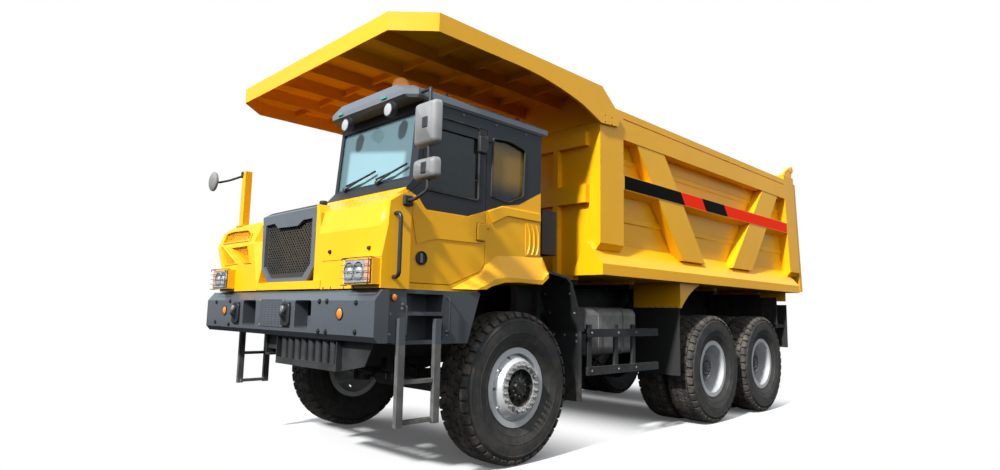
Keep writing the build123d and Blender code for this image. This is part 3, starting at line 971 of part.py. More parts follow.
# ---- mirrors: bow on the left corner of the cab, post on the right-hand box ----------------------
MIRROR_Y = FRONT_AXLE_Y - 1380
MIRROR_OUT_X = 1930
MIRROR_W = 270
MIRROR_BAR_R = 15
BOW_X = MIRROR_OUT_X - 115
BOW_Y = FRONT_AXLE_Y - 1235
BOW_Z = (2200, 3040)
POST_X = (-1175, -1085)
POST_Y = (NOSE_Y + 60, NOSE_Y + 130)
ROUND_MIRROR = (-1795, FRONT_AXLE_Y - 1600, 2768)
ROUND_MIRROR_R = 110
with BuildPart() as mirrors:
    roof_side = CAB_OUT_X + ROOF_SIDE + SEAT_GAP
    bend = 2 * MIRROR_BAR_R
    tube([(roof_side, BOW_Y, CAB_TOP + 48), (roof_side + 80, BOW_Y, CAB_TOP + 48),
          (BOW_X, MIRROR_Y, BOW_Z[1]), (BOW_X, MIRROR_Y, BOW_Z[0] + 50),
          (BOW_X - 155, MIRROR_Y, BOW_Z[0]), (NOSE_OUT_X + SEAT_GAP, MIRROR_Y, BOW_Z[0])],
         MIRROR_BAR_R, bend)
    for z_low, z_high in ((BOW_Z[1] - 450, BOW_Z[1] - 100), (BOW_Z[0] + 130, BOW_Z[0] + 300)):
        block((MIRROR_OUT_X - MIRROR_W, MIRROR_OUT_X), (MIRROR_Y - 15, MIRROR_Y + 30), (z_low, z_high))
    # right-hand post with its round mirror on a forward arm
    block(POST_X, POST_Y, (BOX_TOP, 2800))
    arm_y = POST_Y[0] + 30
    mirror_x, mirror_y, mirror_z = ROUND_MIRROR
    tube([(POST_X[0] + 20, arm_y, mirror_z), (mirror_x + 210, arm_y, mirror_z),
          (mirror_x, arm_y - 30, mirror_z), (mirror_x, mirror_y + 10, mirror_z)], MIRROR_BAR_R - 2,
         0.8 * bend)
    shaft_y(mirror_x, (mirror_y - 20, mirror_y + 20), mirror_z, ROUND_MIRROR_R)
mirrors.part.label = "mirrors"
export_step(mirrors.part, "parts/mirrors.step")

# ---- rear flaps, hung from the rear end of the frame ---------------------------------------------
REAR_FLAP_Y = AXLE_2_Y + TYRE_R + 320    # clear of the last tyres
REAR_FLAP_X = (1000, 1600)
REAR_FLAP_TOP = 1560
CARRIER_Y = FRAME_REAR_Y - 120
CARRIER_Z = (1200, 1250)
with BuildPart() as rear_flaps:
    for side in (-1, 1):
        block(both(side, RAIL_X, REAR_FLAP_X[1] - 20), (CARRIER_Y, CARRIER_Y + 50), CARRIER_Z)
        block(both(side, *REAR_FLAP_X), (REAR_FLAP_Y, REAR_FLAP_Y + 14), (890, REAR_FLAP_TOP))
        for x in (REAR_FLAP_X[0] + 40, REAR_FLAP_X[1] - 80):
            block(both(side, x, x + 40), (CARRIER_Y + 50, REAR_FLAP_Y), CARRIER_Z)
rear_flaps.part.label = "rear_flaps"
export_step(rear_flaps.part, "parts/rear_flaps.step")

# ---- dump body: the tub with the ribs of its headboard -------------------------------------------


def tub_section(inset):
    """Cross-section of the tub's inside or outside, open at the top."""
    return [(-WALL_HALF + inset, POST_TOP + 400), (-WALL_HALF + inset, CHAMFER_TOP),
            (-FLOOR_HALF + inset * 0.6, FLOOR_LOW + inset * 1.2),
            (FLOOR_HALF - inset * 0.6, FLOOR_LOW + inset * 1.2),
            (WALL_HALF - inset, CHAMFER_TOP), (WALL_HALF - inset, POST_TOP + 400)]


CUT_LOW = FLOOR_LOW - 700
CUT_HIGH = POST_TOP + 500
BACK_CUT = [(rear_y(CUT_LOW), CUT_LOW), (rear_y(CUT_HIGH), CUT_HIGH),
            (rear_y(CUT_LOW) + 1200, CUT_HIGH), (rear_y(CUT_LOW) + 1200, CUT_LOW)]
HEAD_RIB = 70               # how far the ribs stand out of the headboard
HEAD_RIBS_Z = ((FLOOR_LOW + 771, FLOOR_LOW + 971), (BODY_RIM_Z - 458, BODY_RIM_Z - 308))
HEAD_RIBS_X = (-1065, -355, 355, 1065)
HEAD_RIB_W = 70
with BuildPart() as tub:
    front_profile(tub_section(0), (BODY_FRONT_Y, rear_y(CUT_LOW) + 100))
    front_profile(tub_section(WALL), (BODY_FRONT_Y + WALL, rear_y(CUT_LOW) + 110), Mode.SUBTRACT)
    for z in HEAD_RIBS_Z:
        front_profile([(-WALL_HALF, z[0]), (WALL_HALF, z[0]), (WALL_HALF, z[1]), (-WALL_HALF, z[1])],
                      (BODY_FRONT_Y - HEAD_RIB, BODY_FRONT_Y + 1))
    for x in HEAD_RIBS_X:
        block((x - HEAD_RIB_W / 2, x + HEAD_RIB_W / 2), (BODY_FRONT_Y - HEAD_RIB, BODY_FRONT_Y + 1),
              (FLOOR_LOW, HEAD_RIBS_Z[1][0] + 10))
    block((-SILL_HALF - 200, SILL_HALF + 200), (BODY_FRONT_Y - 10, rear_y(CUT_LOW) + 110),
          (BODY_RIM_Z - 60, CUT_HIGH), Mode.SUBTRACT)
    side_profile(BACK_CUT, (-SILL_HALF - 200, SILL_HALF + 200), Mode.SUBTRACT)
tub.part.label = "tub"
export_step(tub.part, "parts/tub.step")

# ---- dump body: top rims, posts, slanted stiffeners, belt, panel swages and sills ----------------
POST_IN = WALL_HALF + SEAT_GAP
RIM_LOW = BODY_RIM_Z - 320
POST_FOOT = CHAMFER_TOP - 22
FOOT_BEVEL = 58
POST_HIDDEN = CHAMFER_TOP - 90      # the posts' feet end inside the sill
FRONT_POST_W = 437
REAR_POST_W = 424
BELT_Z_RANGE = (FLOOR_LOW + 965, FLOOR_LOW + 1129)
BELT_FLARE = 46
SWAGE_T = 12
SWAGES_Z = ((FLOOR_LOW + 620, FLOOR_LOW + 700), (FLOOR_LOW + 1290, FLOOR_LOW + 1370))
STIFF_W = 150
STIFF_SET_IN = 6            # the belt runs over the stiffeners
# (foot y, head y) of the slanted stiffeners, from the headboard
STIFFENERS = ((1907, 1007), (3517, 4457))
TOP_RIM = [(BODY_FRONT_Y, RIM_LOW), (BODY_FRONT_Y, BODY_RIM_Z), (rear_y(BODY_RIM_Z), BODY_RIM_Z),
           (rear_y(RIM_LOW), RIM_LOW)]
FRONT_POST = [(BODY_FRONT_Y, POST_HIDDEN), (BODY_FRONT_Y, RIM_LOW),
              (BODY_FRONT_Y + FRONT_POST_W, RIM_LOW), (BODY_FRONT_Y + FRONT_POST_W, POST_HIDDEN)]
REAR_POST = [(rear_y(POST_HIDDEN) - REAR_POST_W, POST_HIDDEN),
             (rear_y(POST_TOP) - REAR_POST_W, POST_TOP), (rear_y(POST_TOP), POST_TOP),
             (rear_y(CHAMFER_TOP), CHAMFER_TOP), (rear_y(CHAMFER_TOP), POST_HIDDEN)]


def sill_slope_z(x):
    """Height of the sill's sloping top at a distance from the centre plane."""
    return CHAMFER_TOP - (CHAMFER_TOP - SILL_EDGE_Z) * (x - POST_IN) / (SILL_HALF - POST_IN)


with BuildPart() as body_frames:
    for side in (-1, 1):
        for outline in (TOP_RIM, FRONT_POST, REAR_POST):
            side_profile(outline, both(side, POST_IN, BODY_HALF))
        for foot, head in STIFFENERS:
            foot_y = BODY_FRONT_Y + foot
            head_y = BODY_FRONT_Y + head
            side_profile([(foot_y - STIFF_W / 2, POST_HIDDEN), (head_y - STIFF_W / 2, RIM_LOW),
                          (head_y + STIFF_W / 2, RIM_LOW), (foot_y + STIFF_W / 2, POST_HIDDEN)],
                         both(side, POST_IN, BODY_HALF - STIFF_SET_IN))
        run = (BODY_FRONT_Y + FRONT_POST_W - 40, rear_y(BELT_Z_RANGE[1]) - REAR_POST_W + 100)
        belt = [(POST_IN, BELT_Z_RANGE[0] - BELT_FLARE), (BODY_HALF, BELT_Z_RANGE[0]),
                (BODY_HALF, BELT_Z_RANGE[1]), (POST_IN, BELT_Z_RANGE[1] + BELT_FLARE)]
        front_profile(mirrored(side, belt), run)
        for low, high in SWAGES_Z:
            swage = [(POST_IN, low), (POST_IN + SWAGE_T, low + 15), (POST_IN + SWAGE_T, high - 15),
                     (POST_IN, high)]
            front_profile(mirrored(side, swage), run)
        # bevelled feet of posts and stiffeners, groove along the rim
        cut_x = BODY_HALF - FOOT_BEVEL
        foot_cut = [(BODY_HALF + 2, POST_FOOT + 2), (cut_x, sill_slope_z(cut_x)),
                    (cut_x, POST_HIDDEN - 10), (BODY_HALF + 2, POST_HIDDEN - 10)]
        front_profile(mirrored(side, foot_cut), (BODY_FRONT_Y - 10, rear_y(POST_HIDDEN) + 100),
                      Mode.SUBTRACT)
        block(both(side, BODY_HALF - 9, BODY_HALF + 5),
              (BODY_FRONT_Y + FRONT_POST_W, rear_y(BODY_RIM_Z) - REAR_POST_W),
              (BODY_RIM_Z - 96, BODY_RIM_Z - 80), Mode.SUBTRACT)
        sill = [(FLOOR_HALF + 20, FLOOR_LOW), (SILL_HALF, FLOOR_LOW), (SILL_HALF, SILL_EDGE_Z),
                (POST_IN, CHAMFER_TOP)]
        front_profile(mirrored(side, sill), (BODY_FRONT_Y - 57, SILL_REAR_Y))
body_frames.part.label = "body_frames"
export_step(body_frames.part, "parts/body_frames.step")

# ---- dump body: underframe with bolsters, hinge ears, hoist ears and rear mud brackets -----------
BEAM_LOW = RAIL_TOP + 6
BOLSTERS_Y = (BODY_FRONT_Y + 60, BODY_FRONT_Y + 1150, HOIST_TOP[0], HOIST_TOP[0] + 1050,
              HINGE_Y - 60)
BOLSTER_DEPTH = 90
EAR_T = 50
EAR_X = RAIL_X + 6
HOIST_EAR_T = 25
HOIST_EAR_GAP = 100         # inner face of the inner ear from the hoist's centre line
with BuildPart() as underframe:
    for side in (-1, 1):
        block(both(side, RAIL_IN_X, RAIL_X), (BODY_FRONT_Y, HINGE_Y - 105), (BEAM_LOW, FLOOR_LOW))
        side_profile([(HINGE_Y - 250, FLOOR_LOW), (HINGE_Y + 160, FLOOR_LOW), (HINGE_Y + 95, HINGE_Z),
                      (HINGE_Y, HINGE_Z - 95), (HINGE_Y - 95, HINGE_Z)],
                     both(side, EAR_X, EAR_X + EAR_T))
        shaft_x(both(side, RAIL_X, EAR_X + EAR_T + 10), HINGE_Y, HINGE_Z, HINGE_R + RUN_GAP,
                Mode.SUBTRACT)
        for x in (HOIST_X - HOIST_EAR_GAP, HOIST_X + HOIST_EAR_GAP - HOIST_EAR_T):
            side_profile([(HOIST_TOP[0] - 110, FLOOR_LOW), (HOIST_TOP[0] - 50, HOIST_TOP[1] - 60),
                          (HOIST_TOP[0] + 50, HOIST_TOP[1] - 60), (HOIST_TOP[0] + 110, FLOOR_LOW)],
                         both(side, x, x + HOIST_EAR_T))
        block(both(side, *REAR_FLAP_X), (REAR_FLAP_Y - 30, REAR_FLAP_Y - 10),
              (REAR_FLAP_TOP + 55, FLOOR_LOW))
        block(both(side, RAIL_X, REAR_FLAP_X[0] + 40), (REAR_FLAP_Y - 30, REAR_FLAP_Y - 10),
              (FLOOR_LOW - BOLSTER_DEPTH, FLOOR_LOW))
    for y in BOLSTERS_Y:
        block((-FLOOR_HALF + 20, FLOOR_HALF - 20), (y - 50, y + 50),
              (FLOOR_LOW - BOLSTER_DEPTH, FLOOR_LOW))
underframe.part.label = "underframe"
export_step(underframe.part, "parts/underframe.step")

# ---- dump body: canopy over the cab --------------------------------------------------------------
CANOPY_WALL = 16
CANOPY_UNDER = CANOPY_TOP - CANOPY_PLATE
CANOPY_RIBS_X = (-1080, -540, 0, 540, 1080)
CANOPY_RIB_T = 24
CANOPY_RIB_DEPTH = 128
CROSS_RIBS = 4
CROSS_RIB_DEPTH = 70
HEADBOARD_LOW = BODY_RIM_Z - 210
CHEEK_LOW = BODY_RIM_Z - 238
CHEEK_X = BODY_HALF + SEAT_GAP
with BuildPart() as canopy:
    top_profile([(-CANOPY_NOSE_HALF, CANOPY_FRONT_Y), (CANOPY_NOSE_HALF, CANOPY_FRONT_Y),
                 (CANOPY_HALF, CANOPY_CORNER_Y), (CANOPY_HALF, BODY_FRONT_Y),
                 (-CANOPY_HALF, BODY_FRONT_Y), (-CANOPY_HALF, CANOPY_CORNER_Y)],
                (CANOPY_LOW, CANOPY_TOP))
    inner_half = CANOPY_HALF - CANOPY_WALL
    inner_nose = CANOPY_NOSE_HALF - 10
    top_profile([(-inner_nose, CANOPY_FRONT_Y + CANOPY_WALL), (inner_nose, CANOPY_FRONT_Y + CANOPY_WALL),
                 (inner_half, CANOPY_CORNER_Y + 10), (inner_half, BODY_FRONT_Y + 10),
                 (-inner_half, BODY_FRONT_Y + 10), (-inner_half, CANOPY_CORNER_Y + 10)],
                (CANOPY_LOW - 10, CANOPY_UNDER), Mode.SUBTRACT)
    for x in CANOPY_RIBS_X:
        block((x - CANOPY_RIB_T / 2, x + CANOPY_RIB_T / 2), (CANOPY_FRONT_Y + 10, BODY_FRONT_Y),
              (CANOPY_UNDER - CANOPY_RIB_DEPTH, CANOPY_UNDER + 5))
    rib_step = (BODY_FRONT_Y - CANOPY_CORNER_Y) / (CROSS_RIBS + 1)
    for count in range(1, CROSS_RIBS + 1):
        y = CANOPY_CORNER_Y + count * rib_step
        block((-inner_half - 5, inner_half + 5), (y - CANOPY_RIB_T / 2, y + CANOPY_RIB_T / 2),
              (CANOPY_UNDER - CROSS_RIB_DEPTH, CANOPY_UNDER + 5))
    # headboard extension and side cheeks down to the rims
    block((-CANOPY_HALF, CANOPY_HALF), (BODY_FRONT_Y - CANOPY_PLATE, BODY_FRONT_Y - SEAT_GAP),
          (HEADBOARD_LOW, CANOPY_TOP))
    for side in (-1, 1):
        start = both(side, CHEEK_X, CANOPY_HALF)
        with BuildSketch(Plane.YZ.offset(start[0])) as cheek:
            with BuildLine():
                arc = ThreePointArc((BODY_FRONT_Y - 1500, CANOPY_LOW),
                                    (BODY_FRONT_Y - 860, CANOPY_LOW - 28),
                                    (BODY_FRONT_Y - 335, BODY_RIM_Z - 118))
                Polyline(arc @ 1, (BODY_FRONT_Y - 10, CHEEK_LOW), (BODY_FRONT_Y + 300, CHEEK_LOW + 28),
                         (BODY_FRONT_Y + 340, BODY_RIM_Z - 90), (BODY_FRONT_Y, CANOPY_TOP),
                         (BODY_FRONT_Y - 1500, CANOPY_TOP), arc @ 0)
            make_face()
            with Locations((BODY_FRONT_Y + 120, CHEEK_LOW + 60)):
                with GridLocations(120, 70, 2, 2):
                    Circle(11, mode=Mode.SUBTRACT)
        extrude(cheek.sketch, amount=start[1] - start[0])
canopy.part.label = "canopy"
export_step(canopy.part, "parts/canopy.step")

# ---- dump body: mud brackets, gussets and flaps ahead of the drive wheels ------------------------
BODY_FLAP_Y = AXLE_1_Y - TYRE_R - 160    # clear of the fore twin tyres
BODY_FLAP_X = (940, 1600)
BODY_FLAP_LOW = 640
BRACKET_LOW = 1452
BRACKET_TOP = FLOOR_LOW - SEAT_GAP
BRACKET_T = 20
GUSSET_T = 15
GUSSET_R = TYRE_R + 435     # arch of the gusset about the drive axle
with BuildPart() as body_flaps:
    for side in (-1, 1):
        block(both(side, *BODY_FLAP_X), (BODY_FLAP_Y, BODY_FLAP_Y + BRACKET_T),
              (BRACKET_LOW - 12, BRACKET_TOP))
        side_x = both(side, BODY_FLAP_X[1] - GUSSET_T, BODY_FLAP_X[1])
        block(side_x, (BODY_FLAP_Y + 1, BODY_FLAP_Y + 500), (BRACKET_LOW - 12, BRACKET_TOP))
        shaft_x((side_x[0] - 5, side_x[1] + 5), AXLE_1_Y, TYRE_R, GUSSET_R, Mode.SUBTRACT)
        block(both(side, BODY_FLAP_X[0] + 10, BODY_FLAP_X[1] - 10),
              (BODY_FLAP_Y - 14, BODY_FLAP_Y), (BODY_FLAP_LOW, BRACKET_LOW + 28))
body_flaps.part.label = "body_flaps"
export_step(body_flaps.part, "parts/body_flaps.step")

# ---- tailgate, hung from pins above the rear posts -----------------------------------------------
GATE_SKIN = 14
GATE_BAR = 120
GATE_BARS_Z = (GATE_LOW, FLOOR_LOW + 639, FLOOR_LOW + 1239, GATE_TOP - GATE_BAR)
GATE_POSTS_X = (-GATE_HALF, -560, 440, GATE_HALF - GATE_BAR)
GATE_ARM_X = (GATE_HALF - 100, GATE_HALF - 60)


def gate_outline(near, far, z_low, z_high):
    """Side outline of a layer of the gate, parallel to the body's rear edge."""
    return [(rear_y(z_low) + near, z_low), (rear_y(z_high) + near, z_high),
            (rear_y(z_high) + far, z_high), (rear_y(z_low) + far, z_low)]


with BuildPart() as tailgate:
    gate_back = GATE_GAP + GATE_DEPTH
    side_profile(gate_outline(GATE_GAP, GATE_GAP + GATE_SKIN, GATE_LOW, GATE_TOP),
                 (-GATE_HALF, GATE_HALF))
    for z in GATE_BARS_Z:
        side_profile(gate_outline(GATE_GAP + GATE_SKIN, gate_back, z, z + GATE_BAR),
                     (-GATE_HALF, GATE_HALF))
    for x in GATE_POSTS_X:
        side_profile(gate_outline(GATE_GAP + GATE_SKIN, gate_back, GATE_LOW, GATE_TOP),
                     (x, x + GATE_BAR))
    pin_y, pin_z = GATE_PIN
    arm_low = GATE_TOP - GATE_BAR
    for side in (-1, 1):
        side_profile([(rear_y(arm_low) + GATE_GAP, arm_low),
                      (rear_y(POST_TOP + 10) + GATE_GAP, POST_TOP + 10),
                      (pin_y - 45, pin_z - 40), (pin_y - 35, pin_z + 45), (pin_y + 40, pin_z + 45),
                      (rear_y(arm_low) + gate_back - 18, arm_low)], both(side, *GATE_ARM_X))
        shaft_x(both(side, GATE_ARM_X[0] - 10, GATE_ARM_X[1] + 10), pin_y, pin_z,
                GATE_PIN_R + RUN_GAP, Mode.SUBTRACT)
tailgate.part.label = "tailgate"
export_step(tailgate.part, "parts/tailgate.step")

# ---- hinge ears for the tailgate, on the rear posts ----------------------------------------------
EAR_BOSS_R = 52
GATE_EAR_X = (GATE_ARM_X[1] + 10, GATE_ARM_X[1] + 50)
with BuildPart() as gate_ears:
    ear_low = POST_TOP + SEAT_GAP
    for side in (-1, 1):
        shaft_x(both(side, GATE_ARM_X[0] - 16, GATE_EAR_X[0] + 30), pin_y, pin_z, GATE_PIN_R)
        shaft_x(both(side, GATE_EAR_X[0], GATE_EAR_X[1] + 8), pin_y, pin_z, EAR_BOSS_R)
        side_profile([(pin_y - 330, ear_low), (pin_y - 300, POST_TOP + 70),
                      (pin_y - 40, pin_z + 50), (pin_y + 40, pin_z + 40),
                      (rear_y(POST_TOP), ear_low)], both(side, *GATE_EAR_X))
gate_ears.part.label = "gate_ears"
export_step(gate_ears.part, "parts/gate_ears.step")

# ---- hoist: barrel, middle stage and rod on each side --------------------------------------------
HOIST_RUN = Vector(0, HOIST_TOP[0] - HOIST_LOW[0], HOIST_TOP[1] - HOIST_LOW[1])
HOIST_LENGTH = HOIST_RUN.length
BARREL_LENGTH = HOIST_LENGTH - 130
BARREL_R = 100
STAGE_R = 82
ROD_RAM_R = 66


def hoist_tube(side, start, end, outer, inner=0):
    """Tube of the hoist between two distances from its lower pin."""
    along = HOIST_RUN.normalized()
    foot = Vector(side * HOIST_X, *HOIST_LOW) + along * start
    with BuildSketch(Plane(origin=foot, x_dir=(1, 0, 0), z_dir=along)) as ring:
        Circle(outer)
        if inner:
            Circle(inner, mode=Mode.SUBTRACT)
    extrude(ring.sketch, amount=end - start)


with BuildPart() as hoist_barrels:
    for side in (-1, 1):
        hoist_tube(side, 50, 90, BARREL_R)
        shaft_x(both(side, HOIST_X - 60, HOIST_X + 60), HOIST_LOW[0], HOIST_LOW[1], 80)
        shaft_x(both(side, HOIST_X - 90, HOIST_X + 90), HOIST_LOW[0], HOIST_LOW[1],
                HOIST_PIN_R + RUN_GAP, Mode.SUBTRACT)
        hoist_tube(side, 85, BARREL_LENGTH, BARREL_R, STAGE_R)
hoist_barrels.part.label = "hoist_barrels"
export_step(hoist_barrels.part, "parts/hoist_barrels.step")

with BuildPart() as hoist_stages:
    for side in (-1, 1):
        hoist_tube(side, 92, BARREL_LENGTH + 25, STAGE_R - RUN_GAP, ROD_RAM_R)
hoist_stages.part.label = "hoist_stages"
export_step(hoist_stages.part, "parts/hoist_stages.step")

with BuildPart() as hoist_rods:
    for side in (-1, 1):
        hoist_tube(side, 105, HOIST_LENGTH - 60, ROD_RAM_R - RUN_GAP)
        shaft_x(both(side, HOIST_X - 50, HOIST_X + 50), HOIST_TOP[0], HOIST_TOP[1], 78)
        shaft_x(both(side, HOIST_X - 60, HOIST_X + 60), HOIST_TOP[0], HOIST_TOP[1],
                HOIST_PIN_R - 5, Mode.SUBTRACT)
hoist_rods.part.label = "hoist_rods"
export_step(hoist_rods.part, "parts/hoist_rods.step")
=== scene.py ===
from math import cos, pi, radians, sin, sqrt

import bmesh
import bpy
from mathutils import Matrix, Vector


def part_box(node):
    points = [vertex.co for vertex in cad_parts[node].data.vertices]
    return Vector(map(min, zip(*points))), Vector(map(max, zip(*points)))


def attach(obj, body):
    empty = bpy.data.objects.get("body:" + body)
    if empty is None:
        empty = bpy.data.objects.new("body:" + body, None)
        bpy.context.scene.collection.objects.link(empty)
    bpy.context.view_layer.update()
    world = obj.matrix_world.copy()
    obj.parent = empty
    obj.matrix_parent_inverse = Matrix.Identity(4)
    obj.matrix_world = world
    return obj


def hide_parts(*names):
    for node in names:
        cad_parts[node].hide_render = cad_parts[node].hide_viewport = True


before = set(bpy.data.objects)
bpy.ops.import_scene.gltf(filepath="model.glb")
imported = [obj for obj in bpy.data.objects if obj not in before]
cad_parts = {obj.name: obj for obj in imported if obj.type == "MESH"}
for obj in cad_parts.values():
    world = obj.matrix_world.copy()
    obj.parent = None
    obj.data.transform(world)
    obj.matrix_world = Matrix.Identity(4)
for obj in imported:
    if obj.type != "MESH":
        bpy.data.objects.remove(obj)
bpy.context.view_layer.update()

bl_info = {
    "name": "Mining dump truck dressing",
    "version": (1, 0, 0),
    "blender": (4, 5, 0),
    "location": "3D View > Sidebar > Dump truck",
    "description": "Paints a tipping mine truck and adds its small fittings",
    "category": "Object",
}

GRILLE_FACE = -4.162        # front of the grille's surround
BOX_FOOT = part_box("step_boxes")[0].z
FLAP_EDGE_Z = 1.452         # lower edge of the yellow brackets that carry the mud flaps
SHEET = 0.001               # how far thin trim stands off the surface that carries it


# ---- sizes and colours a user may change -------------------------------------------------
def colour_prop(name, description, default):
    """Colour property, scene-linear."""
    return bpy.props.FloatVectorProperty(name=name, description=description, default=default,
                                         subtype="COLOR", size=3, min=0.0, max=1.0)


def length_prop(name, description, default):
    """Length property, in metres."""
    return bpy.props.FloatProperty(name=name, description=description, default=default,
                                   unit="LENGTH", min=0.0)


class TruckPaints(bpy.types.PropertyGroup):
    """Colours of the truck's finishes."""
    body_yellow: colour_prop("Body yellow", "Gloss enamel of the tipping body and cab",
                             (0.88, 0.43, 0.003))
    cab_dark: colour_prop("Cab dark", "Slate enamel of bumper, roof and grille surround",
                          (0.070, 0.078, 0.088))
    chassis_black: colour_prop("Chassis black", "Satin black of frame, steps and brackets",
                               (0.022, 0.023, 0.024))
    worn_steel: colour_prop("Worn steel", "Bare grey steel of ladders and straps",
                            (0.24, 0.235, 0.22))
    rim_silver: colour_prop("Rim silver", "Silver enamel of the wheel rims",
                            (0.68, 0.69, 0.69))
    tyre_black: colour_prop("Tyre black", "Clean tyre rubber", (0.030, 0.029, 0.028))
    site_dust: colour_prop("Site dust", "Dry earth that settles on tyres and steps",
                           (0.22, 0.175, 0.125))
    stripe_red: colour_prop("Stripe red", "Orange-red of the side stripe", (0.98, 0.025, 0.001))


class TruckSizes(bpy.types.PropertyGroup):
    """Sizes of the small fittings."""
    wheel_nut: length_prop("Wheel nut", "Across the flats of a wheel nut", 0.032)
    mesh_pitch: length_prop("Mesh pitch", "Spacing of the mesh in the side windows", 0.016)
    frame_bolt: length_prop("Panel bolt", "Across the flats of a panel bolt", 0.030)


# ---- shader maths ------------------------------------------------------------------------
class Value:
    """A socket in a material's node tree; expressions on it add Math nodes."""

    def __init__(self, finish, socket):
        self.finish = finish
        self.socket = socket

    def math(self, operation, *others):
        """Math node with this value first."""
        return self.finish.node("ShaderNodeMath", {"operation": operation},
                                dict(enumerate((self, *others))))

    def __add__(self, other):
        return self.math("ADD", other)

    def __radd__(self, other):
        return self.math("ADD", other)

    def __sub__(self, other):
        return self.math("SUBTRACT", other)

    def __rsub__(self, other):
        return self.finish.node("ShaderNodeMath", {"operation": "SUBTRACT"}, {0: other, 1: self})

    def __mul__(self, other):
        return self.math("MULTIPLY", other)

    def __rmul__(self, other):
        return self.math("MULTIPLY", other)

    def __truediv__(self, other):
        return self.math("DIVIDE", other)

    def __rtruediv__(self, other):
        return self.finish.node("ShaderNodeMath", {"operation": "DIVIDE"}, {0: other, 1: self})

    def __gt__(self, other):
        return self.math("GREATER_THAN", other)

    def __lt__(self, other):
        return self.math("LESS_THAN", other)

    def step(self, low, high):
        """0 below low, 1 above high, smooth between them."""
        return self.finish.node("ShaderNodeMapRange", {"interpolation_type": "SMOOTHSTEP"},
                                {"Value": self, "From Min": low, "From Max": high})


class Tree:
    """The node tree of a material or a world, with short ways to add to it."""

    def __init__(self, owner):
        owner.use_nodes = True
        self.tree = owner.node_tree
        self.coords = None

    def join(self, socket, value):
        """Puts a constant or a link on any socket."""
        if isinstance(value, Value):
            self.tree.links.new(value.socket, socket)
        elif isinstance(value, (tuple, list)) and socket.type == "RGBA":
            socket.default_value = (*value, 1.0) if len(value) == 3 else value
        else:
            socket.default_value = value

    def node(self, kind, settings=None, sockets=None, output=0):
        """Adds a node: its settings first, then its sockets' values or links."""
        made = self.tree.nodes.new(kind)
        for key, value in (settings or {}).items():
            if key == "stops":
                ramp = made.color_ramp
                while len(ramp.elements) < len(value):
                    ramp.elements.new(0.5)
                for element, (position, colour) in zip(ramp.elements, value):
                    element.position = position
                    element.color = (*colour, 1.0)
            else:
                setattr(made, key, value)
        for key, value in (sockets or {}).items():
            self.join(made.inputs[key], value)
        return Value(self, made.outputs[output])

    def place(self, axis=None):
        """Place on the truck in metres: the whole vector, or one of its axes."""
        if self.coords is None:
            self.coords = self.node("ShaderNodeTexCoord", output="Object")
        if axis is None:
            return self.coords
        return self.node("ShaderNodeSeparateXYZ", sockets={0: self.coords}, output=axis)

    def within(self, axis, low, high, soft=0.001):
        """1 between two places along an axis, 0 outside them."""
        place = self.place(axis)
        return place.step(low - soft, low + soft) * (1.0 - place.step(high - soft, high + soft))

    def facing(self, axis):
        """How far the surface faces along an axis, from -1 to 1."""
        normal = self.node("ShaderNodeNewGeometry", output="Normal")
        return self.node("ShaderNodeSeparateXYZ", sockets={0: normal}, output=axis)

    def noise(self, scale, detail=4.0, rough=0.55, distortion=0.0):
        """Noise over the truck, about 0 to 1, scale in features a metre."""
        return self.node("ShaderNodeTexNoise", sockets={
            "Vector": self.place(), "Scale": scale, "Detail": detail, "Roughness": rough,
            "Distortion": distortion})

    def mix(self, amount, first, second):
        """Colour between two colours."""
        return self.node("ShaderNodeMix", {"data_type": "RGBA"},
                         {0: amount, 6: first, 7: second}, output=2)


class Finish(Tree):
    """A material being made: its node tree and its main shader."""

    def __init__(self, name, **constants):
        self.material = bpy.data.materials.new(name)
        super().__init__(self.material)
        self.shader = self.tree.nodes["Principled BSDF"]
        for socket, value in constants.items():
            self.set(socket.replace("_", " "), value)

    def set(self, socket, value):
        """Puts a constant or a link on one of the main shader's sockets."""
        self.join(self.shader.inputs[socket], value)

    def spread(self, low, high, scale, detail=4.0, rough=0.55, distortion=0.0):
        """Noise stretched to run from 0 to 1 between two of its levels."""
        return self.noise(scale, detail, rough, distortion).step(low, high)

    def cloud(self):
        """Wide, faint patches of sprayed enamel."""
        return self.spread(0.3, 0.7, 0.9, 3.0)

    def grit(self):
        """How thickly dust lies from place to place."""
        return self.spread(0.42, 0.75, 38.0, 6.0, 0.7) * 0.7 + 0.3

    def haze(self):
        """Thin film of dust on glass."""
        return self.spread(0.4, 0.8, 3.0, 5.0, 0.6) * 0.03

    def waves(self, axis, scale):
        """Even bands across an axis."""
        return self.node("ShaderNodeTexWave", {"wave_type": "BANDS", "bands_direction": axis},
                         {"Vector": self.place(), "Scale": scale})

    def above(self, axis, place, soft=0.001):
        """0 before a place along an axis, 1 after it."""
        return self.place(axis).step(place - soft, place + soft)

    def ledge(self, low=0.5, high=0.9):
        """1 on faces that look up."""
        return self.facing("Z").step(low, high)

    def toned(self, amount, colour, first, second):
        """Colour between two tones of it, each given as a factor."""
        return self.mix(amount, scaled(colour, first), scaled(colour, second))

    def made(self, colour, roughness, relief=None, strength=0.0, distance=0.0):
        """Sets colour, roughness and relief, and gives the material."""
        self.set("Base Color", colour)
        self.set("Roughness", roughness)
        if relief:
            self.set("Normal", self.node("ShaderNodeBump", sockets={
                "Height": relief, "Strength": strength, "Distance": distance}))
        return self.material


def scaled(colour, factor):
    """A colour made lighter or darker."""
    return tuple(min(1.0, c * factor) for c in colour)


